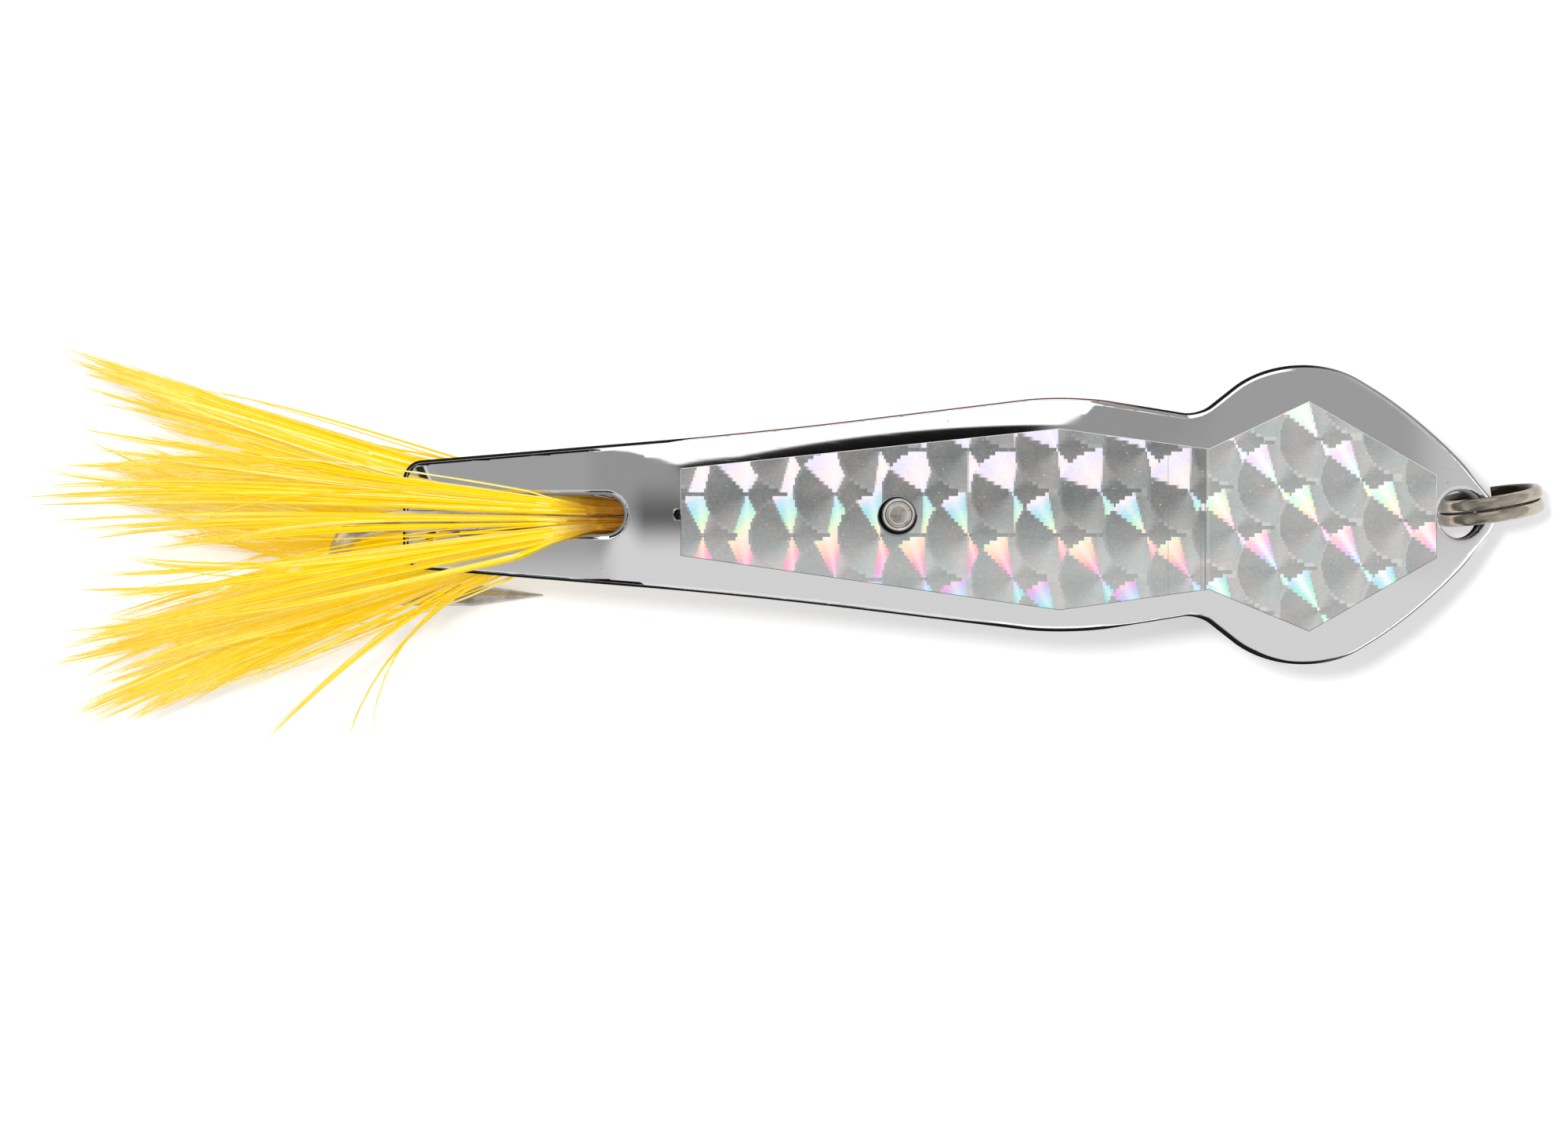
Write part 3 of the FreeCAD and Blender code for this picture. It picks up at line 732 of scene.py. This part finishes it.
class StageSettings(PropertyGroup):
    lens: size("Lens", 567.0, "Focal length, mm")
    view_wide: size("Width in view", 126.83, "Width that the camera sees at the rivet, mm")
    look_x: size("Look along", -9.28,
                 "Middle of the view along the blade from the rivet, mm")
    look_y: size("Look across", -3.71,
                 "Middle of the view across the blade from the rivet, mm")
    floor: share("Floor", 0.66, "Share of the floor's brightness that shadows can take")
    key: size("Key light", 1.0, "Strength of the key light")


# ---- operators

class SPOON_OT_stage(Operator):
    """Make the camera, the white floor, the lamps and the studio that the metal reflects"""
    bl_idname = "spoon.stage"
    bl_label = "Stage"

    def execute(self, context):
        settings = context.scene.spoon_stage
        view_camera(context, settings)
        white_floor(settings)
        studio_world()
        soft_lamps(settings)
        context.scene.view_settings.view_transform = "Standard"
        return {"FINISHED"}


def view_camera(context, settings):
    data = bpy.data.cameras.new("view")
    data.lens = settings.lens
    data.clip_start, data.clip_end = 0.01, 10.0
    camera = placed("view", data)
    away = settings.view_wide * MM * settings.lens / data.sensor_width
    camera.location = PIN + PITCH @ Vector((settings.look_x * MM, settings.look_y * MM, away))
    camera.rotation_euler = PITCH.to_euler()
    context.scene.camera = camera


def white_floor(settings):
    bm = bmesh.new()
    bmesh.ops.create_grid(bm, x_segments=2, y_segments=2, size=3.0)
    mesh = finished(bm, "floor")
    floor = placed("floor", mesh)
    material, sheet = new_material("floor_white")
    share = settings.floor
    paint = sheet.node("BsdfDiffuse", {}, {"Color": (share, share, share, 1.0)})
    ray = sheet.node("LightPath").socket.node.outputs
    camera, glossy, through = (Value(sheet, ray[f"Is {kind} Ray"])
                               for kind in ("Camera", "Glossy", "Transmission"))
    seen = camera.most(glossy).most(through)
    fill = sheet.node("Emission", {}, {"Strength": seen * (1.06 - share)})
    both = sheet.node("AddShader", {}, [paint, fill])
    sheet.node("OutputMaterial", {}, {"Surface": both})
    mesh.materials.append(material)


def studio_world():
    """The studio that the plating mirrors, by direction in the blade's frame.

    The ceiling is grey, lighter on the near side. A long white panel hangs over the far side,
    with a black flag on its near edge, and the far and near walls are dark.
    """
    world = bpy.data.worlds.new("studio")
    bpy.context.scene.world = world
    sheet = Sheet(world)
    way = sheet.node("TexCoord", output=0)
    turn = (0, -PITCH.to_euler().y, 0)
    way = sheet.node("Mapping", {}, {"Vector": way, "Rotation": turn})
    x = sheet.node("SeparateXYZ", {}, [way])
    y, z = (Value(sheet, x.socket.node.outputs[i]) for i in (1, 2))
    sideways = sheet.smooth(-1.0 * x, 0.25, 0.5)
    upper = 0.30 + 0.04 * sheet.smooth(x, 0.12, 0.24) + 0.09 * sheet.smooth(abs(x), 0.4, 0.8)
    upper = upper + 0.10 * sheet.smooth(x, 0.25, 0.85)
    lower = 0.66 - 0.14 * sideways
    split = y + 0.02 + 0.085 * sideways
    light = sheet.blend(sheet.smooth(split, -0.045, 0.045), lower, upper)
    across = (x * x * sheet.blend(x > 0.0, 14.0, 120.0) + y * y * 95.0) ** 0.5
    light = sheet.blend(sheet.smooth(across, -0.1, 1.1), 0.10, light)
    inward = sheet.fade(x, 0.07, 0.12)
    curve = sheet.band(x, -0.52, -0.10, 0.01) * sheet.smooth(-1.0 * y, 0.41, 0.43)
    curl = 0.104 - x - 1.3 * abs(y)
    # the panel's near edge, which the bent tail and head see in steps
    rise = 1 - ((x + 0.027) * (1 / 0.054)).most(0.0).least(1.0)
    edge = (0.165 - 0.006 * sheet.smooth(x, -0.22, -0.057)
            - 0.007 * sheet.smooth(x, -0.057, -0.029) - 0.018 * sheet.smooth(x, -0.029, -0.0255))
    edge = sheet.blend(x > -0.0255, edge, 0.246 - 0.118 * rise * rise)
    edge = sheet.blend(x > 0.027, edge, 0.246 + 0.028 * sheet.smooth(x, 0.0282, 0.0322)
                       + 0.025 * sheet.smooth(x, 0.032, 0.06))
    top = 0.30 + 0.75 * sheet.band(x, -0.45, 0.10, 0.02) + 0.06 * (x > 0.06)
    panel = sheet.smooth(y - edge, -0.003, 0.003) * sheet.fade(y - top, -0.01, 0.01)
    panel = panel * sheet.fade(x, 0.15, 0.2) * sheet.smooth(x, -0.53, -0.50)
    flag = sheet.band(y - edge, -0.06, 0.0, 0.003)
    flag = flag * sheet.smooth(x, -0.0262, -0.0250) * sheet.fade(x, 0.024, 0.0285)
    for cover, level in (
            (sheet.smooth(y, 0.34, 0.37) * inward, 0.008),
            (sheet.smooth(-1.0 * y, 0.56, 0.60) * inward, 0.78),
            (curve, 0.008), (sheet.band(curl, 0.68, 0.70, 0.006), 0.65),
            (sheet.band(curl, 0.70, 0.76, 0.008), 0.02),
            (sheet.smooth(-1.0 * x, 0.84, 0.88), 0.01), (panel, 1.15), (flag, 0.006),
            (sheet.fade(z, 0.05, 0.12), 0.05)):
        light = sheet.blend(cover, light, level)
    glow = sheet.node("Background", {}, {"Color": (1, 1, 1, 1), "Strength": light})
    sheet.node("OutputWorld", {}, {"Surface": glow})


def soft_lamps(settings):
    """A small soft key nearly overhead, from the upper left, and two wide fills."""
    for name, place, size, power in (("key", (-0.05, 0.11, 1.0), 0.13, 5.4),
                                     ("left", (-0.6, 0.3, 0.9), 0.6, 2.2),
                                     ("right", (0.6, -0.2, 0.9), 0.6, 2.2)):
        data = bpy.data.lights.new(name, "AREA")
        data.shape, data.size = "DISK", size
        data.energy = power * settings.key
        lamp = placed(name, data)
        lamp.location = place
        lamp.rotation_euler = (-Vector(place)).to_track_quat("-Z", "Y").to_euler()
        lamp.visible_glossy = False


class SPOON_OT_blade(Operator):
    """Make the stamped, plated blade over its CAD node"""
    bl_idname = "spoon.blade"
    bl_label = "Blade"

    def execute(self, context):
        settings = context.scene.spoon_plate
        cheek = HALF_OUTLINE[0]
        lean = math.atan2(cheek[1], NOSE_X - cheek[0])
        tip_x = NOSE_X - NOSE_R * (1 / math.sin(lean) - 1)
        tip_y = (NOSE_X - tip_x) * math.tan(lean)
        path = [(tip_x, 0.0, 0.0), (tip_x, tip_y, tip_y * NEARLY_ALL)]
        ends = [(tip_x, tip_y)] + HALF_OUTLINE + [(TAIL_X, 0.0)]
        for i, (x, y, r) in enumerate(HALF_OUTLINE, 1):
            path.append((x, y, reach_of(ends[i - 1], ends[i], ends[i + 1], r)))
        path.append((TAIL_X, 0.0, 0.0))
        path += half_hole(SLOT_TO, SLOT_FROM, 0.0, SLOT_HALF, SLOT_END_ROUND)
        for middle, r in ((0.0, RIVET_HOLE_R), (NOSE_HOLE_AT, NOSE_HOLE_R)):
            path += half_hole(middle - r, middle + r, 0.0, r)
        bm = flat_half(path)
        hole = [v for v in bm.verts if abs(v.co.x - NOSE_HOLE_AT) < 2.0 and v.co.y < 2.0]
        bmesh.ops.scale(bm, vec=(HOLE_SHORT, 1, 1), verts=hole,
                        space=Matrix.Translation((-NOSE_HOLE_AT, 0, 0)))
        thicken(bm, PLATE, settings.edge_round, BACK_ROUND, 0.0)
        # finer cuts at the slot's front end, at the nose and over the dimple
        xs = (steps(-39.9, 48.4, 0.45) + steps(-26.1, -17.1, 0.225) + steps(40.2, 46.8, 0.3)
              + steps(DIMPLE_AT - DIMPLE_R, DIMPLE_AT + DIMPLE_R, 0.1))
        slice_grid(bm, sorted(set(xs)), steps(0.1, DIMPLE_R, 0.1) + steps(0.8, 13.6, 0.4))
        bmesh.ops.mirror(bm, geom=whole(bm), axis="Y", merge_dist=SAME)
        close_up(bm)
        mesh = lay_plate(bm, "stamped_blade", PLATE, 0.0, NOSE_HOLE_AT)
        show("stamped_blade", mesh, "blade", chrome_plate(settings),
             "spoon_blade")
        return {"FINISHED"}


class SPOON_OT_film(Operator):
    """Make the die-cut prismatic decal over its CAD node"""
    bl_idname = "spoon.film"
    bl_label = "Decal"

    def execute(self, context):
        settings = context.scene.spoon_film
        hole_y, hole_r = -0.12, 1.57
        left, right = -17.65, 43.62
        upper = [(left, 3.74), (13.0, 6.97), (25.1, 5.33), (33.25, 9.19), (right, 3.21)]
        lower = [(left, -3.33), (13.0, -7.73), (25.1, -6.06), (33.25, -9.46), (right, -3.5)]
        halves = []
        for side, rim in ((1, upper), (-1, lower)):
            path = [(x, y, 0) for x, y in rim] + [(right, hole_y, 0)]
            path += half_hole(hole_y + hole_r, hole_y - hole_r, hole_y, side * hole_r)
            half = flat_half(path + [(left, hole_y, 0)])
            bmesh.ops.recalc_face_normals(half, faces=half.faces)
            if half.faces[:][0].normal.z < 0:
                bmesh.ops.reverse_faces(half, faces=half.faces)
            thicken(half, TAPE, TAPE_ROUND, TAPE_BACK_ROUND, hole_y)
            halves.append(finished(half, "half"))
        bm = bmesh.new()
        for half in halves:
            bm.from_mesh(half)
            bpy.data.meshes.remove(half)
        close_up(bm)
        xs = steps(left + 0.6, right - 0.3, 0.9) + steps(40.2, right - 0.3, 0.4)
        slice_grid(bm, sorted(set(xs)), steps(-9.0, 9.0, 0.9))
        mesh = lay_plate(bm, "prism_decal", TAPE, TAPE)
        show("prism_decal", mesh, "blade", prism_film(settings), "prism_tape")
        return {"FINISHED"}


class SPOON_OT_rivet(Operator):
    """Make the dished rivet over its CAD node"""
    bl_idname = "spoon.rivet"
    bl_label = "Rivet"

    def execute(self, context):
        settings = context.scene.spoon_metal
        under = EYE_Z - HOOK_WIRE_R - EYE_GAP
        # the dish, the rim and the side of the head, then the shaft and the clinched foot
        outline = [(0.0, 0.32), (0.5, 0.31), (0.95, 0.30), (1.04, 0.31), (1.10, 0.36),
                   (1.15, 0.43), (1.20, 0.455), (1.27, 0.455), (1.33, 0.42), (1.37, 0.36),
                   (RIVET_HEAD_R, 0.28), (RIVET_HEAD_R, 0.02), (1.36, 0.0),
                   (RIVET_SHAFT_R, 0.0), (RIVET_SHAFT_R, under)]
        outline += [(r, under - fall) for r, fall in (
            (1.45, 0.0), (1.68, 0.08), (1.75, 0.25), (1.70, 0.45), (1.5, 0.58), (1.2, 0.6),
            (0.0, 0.6))]
        # painted light and shade round the rivet: highlights on the dish and on the rim's top,
        # shade on the rim's inner slope and round the head's edge
        metal = worn_metal("rivet_metal", settings.rivet, (0.13, 0.11, 0.095), 0.24,
                           2.0, 0.3, 0.6, False,
                           [(0.78, 0.86, 0.75), (1.07, 1.16, 0.06), (1.20, 1.30, 0.85),
                            (1.36, 1.60, 0.03)])
        show("dished_rivet", spun("dished_rivet", outline), "blade", metal,
             "rivet")
        return {"FINISHED"}


class SPOON_OT_hook(Operator):
    """Give the hook its metal"""
    bl_idname = "spoon.hook"
    bl_label = "Hook"

    def execute(self, context):
        settings = context.scene.spoon_metal
        wire = worn_metal("hook_wire", settings.hook, (0.20, 0.17, 0.14), 0.26,
                          (0.6, 4.0, 4.0), 0.25, 0.75)
        for slot in frame["nodes"]["hook"].material_slots:
            slot.material = wire
        return {"FINISHED"}


class SPOON_OT_ring(Operator):
    """Make the split ring's two turns of rounded wire over its CAD node"""
    bl_idname = "spoon.ring"
    bl_label = "Split ring"

    def execute(self, context):
        settings = context.scene.spoon_metal
        bm = bmesh.new()
        side, high, squareness, count = RING_WIRE_WIDE / 2, RING_WIRE_HIGH / 2, 0.78, 24
        shift = (RING_WIRE_WIDE + RING_TURN_GAP) / 2
        verts = []
        for i in range(count):
            turn = math.tau * i / count
            out, over = (math.copysign(abs(v) ** squareness, v)
                         for v in (math.cos(turn), math.sin(turn)))
            verts.append(bm.verts.new((RING_R - high + high * out, 0, side * over - shift)))
        cap = [bm.faces.new(verts)]
        bmesh.ops.rotate(bm, verts=verts, matrix=Matrix.Rotation(RING_OPEN_AT, 3, "Z"))
        geom = verts + list(cap[0].edges)
        # the crossover between the two turns eases in and out
        runs = [(math.tau - RING_OPEN, 0.0, 150)]
        runs += [(RING_OPEN / 6, 2 * shift * rise, 2)
                 for rise in (0.05, 0.18, 0.27, 0.27, 0.18, 0.05)] + runs
        for angle, rise, parts in runs:
            made = bmesh.ops.spin(bm, geom=geom, cent=(0, 0, 0), axis=(0, 0, 1), angle=angle,
                                  dvec=(0, 0, rise / parts), steps=parts)
            geom = made["geom_last"]
        cap.append(bm.faces.new([v for v in geom if isinstance(v, bmesh.types.BMVert)]))
        bmesh.ops.recalc_face_normals(bm, faces=bm.faces)
        for face in bm.faces:
            face.smooth = face not in cap
        mesh = finished(bm, "wound_ring")
        # how far round to the wire's side each point is, from its outermost line, for the painted
        # shade that darkens the sides and the inner face
        sides = [(math.hypot(v.co.x, v.co.y) - RING_R + high) / high for v in mesh.vertices]
        give(mesh, "side", [min(1.0, (1 - out) * 0.85) for out in sides])
        lie = Matrix.Rotation(RING_YAW, 4, "Z") @ Matrix.Rotation(-RING_LEAN, 4, "X")
        hang = Matrix.Translation(WEB + lie @ Vector((0, 0, -RING_HANG)))
        mesh.transform(LAY @ hang @ lie @ Matrix.Rotation(math.pi / 2, 4, "X"))
        metal = worn_metal("ring_wire", settings.ring, (0.19, 0.155, 0.12), 0.18,
                           (0.5, 3.0, 3.0), 0.05, 0.8, True)
        show("wound_ring", mesh, "ring", metal, "split_ring")
        return {"FINISHED"}


# Each tuft: place of its quill round the shank in degrees, share of the full strand count, lift
# over the shank's line, its half-width half way along, the point where it leaves the winding's
# line, the point it passes half way, and the tips that its clumps run to
FRONT_TUFTS = [
    (54, 0.12, 6.0, 1.4, (-30, 1.4), (-50, 5.2),
     [(-65.9, 7.65), (-64.9, 6.1), (-62.0, 7.4)]),
    (72, 0.22, 3.1, 1.6, (-30, 0.8), (-51, 3.0),
     [(-69.7, 4.5), (-67.4, 4.9), (-70.8, 2.2), (-69.3, 3.3), (-69.7, 1.6)]),
    (90, 0.16, 6.0, 1.0, (-31, -0.3), (-50, 1.3),
     [(-68.3, 0.4), (-66.7, -0.5), (-65.2, -1.0), (-60.5, -1.9), (-54.5, -1.6)]),
    (108, 0.20, 3.1, 1.0, (-30, -0.7), (-49, -4.8),
     [(-64.7, -4.0), (-66.3, -5.3), (-64.5, -5.9), (-62.4, -2.8)]),
    (126, 0.13, 5.0, 1.2, (-30, -1.2), (-50, -6.4),
     [(-67.6, -8.7), (-64.5, -7.5), (-67.0, -9.4), (-62.0, -8.6)])]
REAR_TUFTS = [
    (5, 1.9, -7.4, 0.8, (-31, 0.6), (-48, 6.9),
     [(-67.6, 14.4), (-67.2, 13.4), (-66.2, 13.0), (-64.0, 12.7)]),
    (-22, 1.2, -9.7, 1.1, (-30, 0.5), (-48, 5.2),
     [(-66.2, 11.3), (-62.0, 10.6), (-60.0, 9.6)]),
    (-50, 1.6, -11.0, 2.8, (-29, 0.3), (-47, 3.0),
     [(-66.6, 4.4), (-65.0, 5.2), (-66.0, 2.4), (-66.0, 7.0)]),
    (-80, 1.4, -12.6, 3.0, (-29, 0.0), (-46, -0.8),
     [(-60.0, -0.8), (-57.0, -0.5), (-55.0, -2.0), (-54.0, -3.2), (-64.0, 2.0)]),
    (-138, 1.7, -10.1, 1.6, (-34, -1.0), (-47, -7.8),
     [(-68.0, -15.6), (-66.0, -16.2), (-63.1, -15.9), (-58.8, -14.9), (-66.6, -13.4)]),
    (-159, 0.07, -7.0, 0.6, (-33, -1.5), (-42.3, -8.5),
     [(-51.7, -17.7), (-45.0, -17.7), (-43.0, -17.0), (-54.5, -13.8), (-51.7, -17.6)]),
    (180, 1.6, -6.8, 2.4, (-29, -0.6), (-46, -5.0),
     [(-69.7, -11.4), (-68.1, -9.9), (-66.5, -12.4), (-66.0, -8.9)])]
STRANDS_IN_CLUMP = 14
STRAND_POINTS = 14
QUILL_ROOT_X, QUILL_RING_R = -19.4, 1.045


def bezier(points, t):
    a, b, c, d = points
    u = 1 - t
    return a * (u ** 3) + b * (3 * u * u * t) + c * (3 * u * t * t) + d * (t ** 3)


def tuft_paths(rng, count, in_front, row):
    """Strand paths of one tuft: out of the winding along the shank, then to a clump's tip."""
    place_deg, _, lift, wide, leave, half_way, tips = row
    place = math.radians(place_deg)
    beside = Vector((0, math.cos(place), math.sin(place))) * QUILL_RING_R
    root = Vector((QUILL_ROOT_X, 0, shank_z(QUILL_ROOT_X))) + beside
    # strands cling in clumps, each with its own tip and its own way there
    clumps = []
    for i in range(max(len(tips), count // STRANDS_IN_CLUMP)):
        tip_x, tip_y = tips[i % len(tips)]
        if i >= len(tips):
            back = rng.uniform(0, 9.0) / (half_way[0] - tip_x)
            tip_x += (half_way[0] - tip_x) * back
            tip_y += (half_way[1] - tip_y) * back + rng.gauss(0, 0.5)
        clumps.append((tip_x, tip_y, rng.gauss(0, 0.75)))
    paths = []
    for i in range(count):
        tip_x, tip_y, drift = clumps[i % len(clumps)]
        spread, rise = drift + rng.gauss(0, 0.16), rng.uniform(-1, 1)
        stray = 3.0 if rng.random() < 0.05 and i > len(clumps) else 1.0
        if stray > 1:
            spread = rng.gauss(0, 0.8)
        tip = Vector((tip_x, tip_y + rng.gauss(0, 0.12),
                      shank_z(tip_x) + lift + rise * 0.3))
        first = Vector((leave[0], leave[1] + spread * 0.35 * stray,
                        shank_z(leave[0]) + beside.z + 0.3 * rise))
        if not in_front:
            first.z = shank_z(leave[0]) - 2.2 + (max(leave[0], -30) + 22) * 0.5 * (rise > 0)
        second = Vector((half_way[0], half_way[1] + spread * wide * stray,
                         shank_z(half_way[0]) + lift * 0.8 + rise * 0.5))
        stop = rng.uniform(0.95, 1.0) if rng.random() < 0.8 else rng.uniform(0.7, 0.95)
        stop = 1.0 if i < len(clumps) else stop
        wave, phase = rng.uniform(0.0, 0.16), rng.uniform(0, 6.3)
        path = []
        for k in range(STRAND_POINTS):
            t = stop * k / (STRAND_POINTS - 1)
            p = bezier((root + Vector((0, spread * 0.08, rise * 0.08)), first, second, tip), t)
            p.y += wave * t * math.sin(phase + 5 * t)
            if p.x > TAIL_X - 0.4:
                face = front(p.x, p.y)
                if not in_front:
                    p.z = min(p.z, face - PLATE - 0.3)
                else:
                    # the strands rise out of the slot before they spread over its sides, so
                    # that they keep clear of these as the hook swings
                    beyond = 0.9 + 0.45 * max(0.0, -26.0 - p.x)
                    p.y = max(-beyond, min(beyond, p.y))
                    if p.x < -24.5:
                        p.z = max(p.z, face + 0.32)
            path.append(HOOK_SWING @ p)
        paths.append(path)
    return paths


def strand_radii(rng, count, thick, ribs):
    """Radii along each strand; the first ones are each clump's flat, wider rib."""
    radii, last = [], STRAND_POINTS - 1
    for i in range(count):
        full = thick * (rng.uniform(1.4, 2.6) if i < ribs else rng.uniform(0.55, 1.1))
        radii.append([full * min(1.0, 0.45 + 2.5 * k / last) * (1 - (k / last) ** 5 * 0.9)
                      for k in range(STRAND_POINTS)])
    return radii


class SPOON_OT_hackle(Operator):
    """Make the yellow hackle, one tuft for each CAD feather, and the thread that binds it"""
    bl_idname = "spoon.hackle"
    bl_label = "Hackle and thread"

    def execute(self, context):
        settings = context.scene.spoon_hackle
        dye = hackle_dye(settings)
        for kind, rows in (("front", FRONT_TUFTS), ("rear", REAR_TUFTS)):
            for number, row in enumerate(rows, 1):
                rng = random.Random(f"{kind}{number}")
                count = int(settings.strands * row[1])
                paths = tuft_paths(rng, count, kind == "front", row)
                radii = strand_radii(rng, count, settings.thick, count // STRANDS_IN_CLUMP)
                tints = [rng.random() ** 1.8 for path in paths]
                name = f"{kind}_tuft_{number}"
                mesh = strands(name, paths, radii, tints)
                show(name, mesh, "hook", dye, f"{kind}_feather_{number}")
        self.winding(settings)
        return {"FINISHED"}

    @staticmethod
    def winding(settings):
        """Two layers of thread wound round the quills."""
        turns, per_turn, start, length = 22, 18, -20.45, 4.3
        thread_r, layers = 0.1, (1.27, 1.33)
        path = []
        for i in range(turns * per_turn * 2):
            t = i / (turns * per_turn)
            x = start + (t if t < 1 else 2 - t) * length
            angle = math.tau * i / per_turn
            r = layers[t >= 1]
            path.append(HOOK_SWING @ Vector((x, math.cos(angle) * r,
                                             shank_z(x) + math.sin(angle) * r)))
        mesh = strands("thread_winding", [path], [[thread_r] * len(path)], [0.5])
        show("thread_winding", mesh, "hook", waxed_thread(settings),
             "binding_thread")


class SPOON_PT_panel(Panel):
    """Lists the pieces of the lure"""
    bl_idname = "SPOON_PT_panel"
    bl_label = "Trolling spoon"
    bl_space_type = "VIEW_3D"
    bl_region_type = "UI"
    bl_category = "Spoon"

    def draw(self, context):
        for operator in OPERATORS:
            self.layout.operator(operator.bl_idname)
        for key in GROUPS:
            group = getattr(context.scene, key)
            box = self.layout.box()
            for name in group.__annotations__:
                box.prop(group, name)


OPERATORS = (SPOON_OT_stage, SPOON_OT_blade, SPOON_OT_film, SPOON_OT_rivet, SPOON_OT_hook,
             SPOON_OT_ring, SPOON_OT_hackle)
GROUPS = {"spoon_plate": PlateSettings, "spoon_film": FilmSettings,
          "spoon_hackle": HackleSettings, "spoon_metal": MetalSettings,
          "spoon_stage": StageSettings}


def register():
    for group in GROUPS.values():
        bpy.utils.register_class(group)
    for key, group in GROUPS.items():
        setattr(bpy.types.Scene, key, PointerProperty(type=group))
    for operator in OPERATORS:
        bpy.utils.register_class(operator)
    bpy.utils.register_class(SPOON_PT_panel)


def unregister():
    bpy.utils.unregister_class(SPOON_PT_panel)
    for operator in reversed(OPERATORS):
        bpy.utils.unregister_class(operator)
    for key, group in GROUPS.items():
        delattr(bpy.types.Scene, key)
        bpy.utils.unregister_class(group)


def main():
    register()
    for operator in OPERATORS:
        group, name = operator.bl_idname.split(".")
        getattr(getattr(bpy.ops, group), name)()


if __name__ == "__main__":
    main()
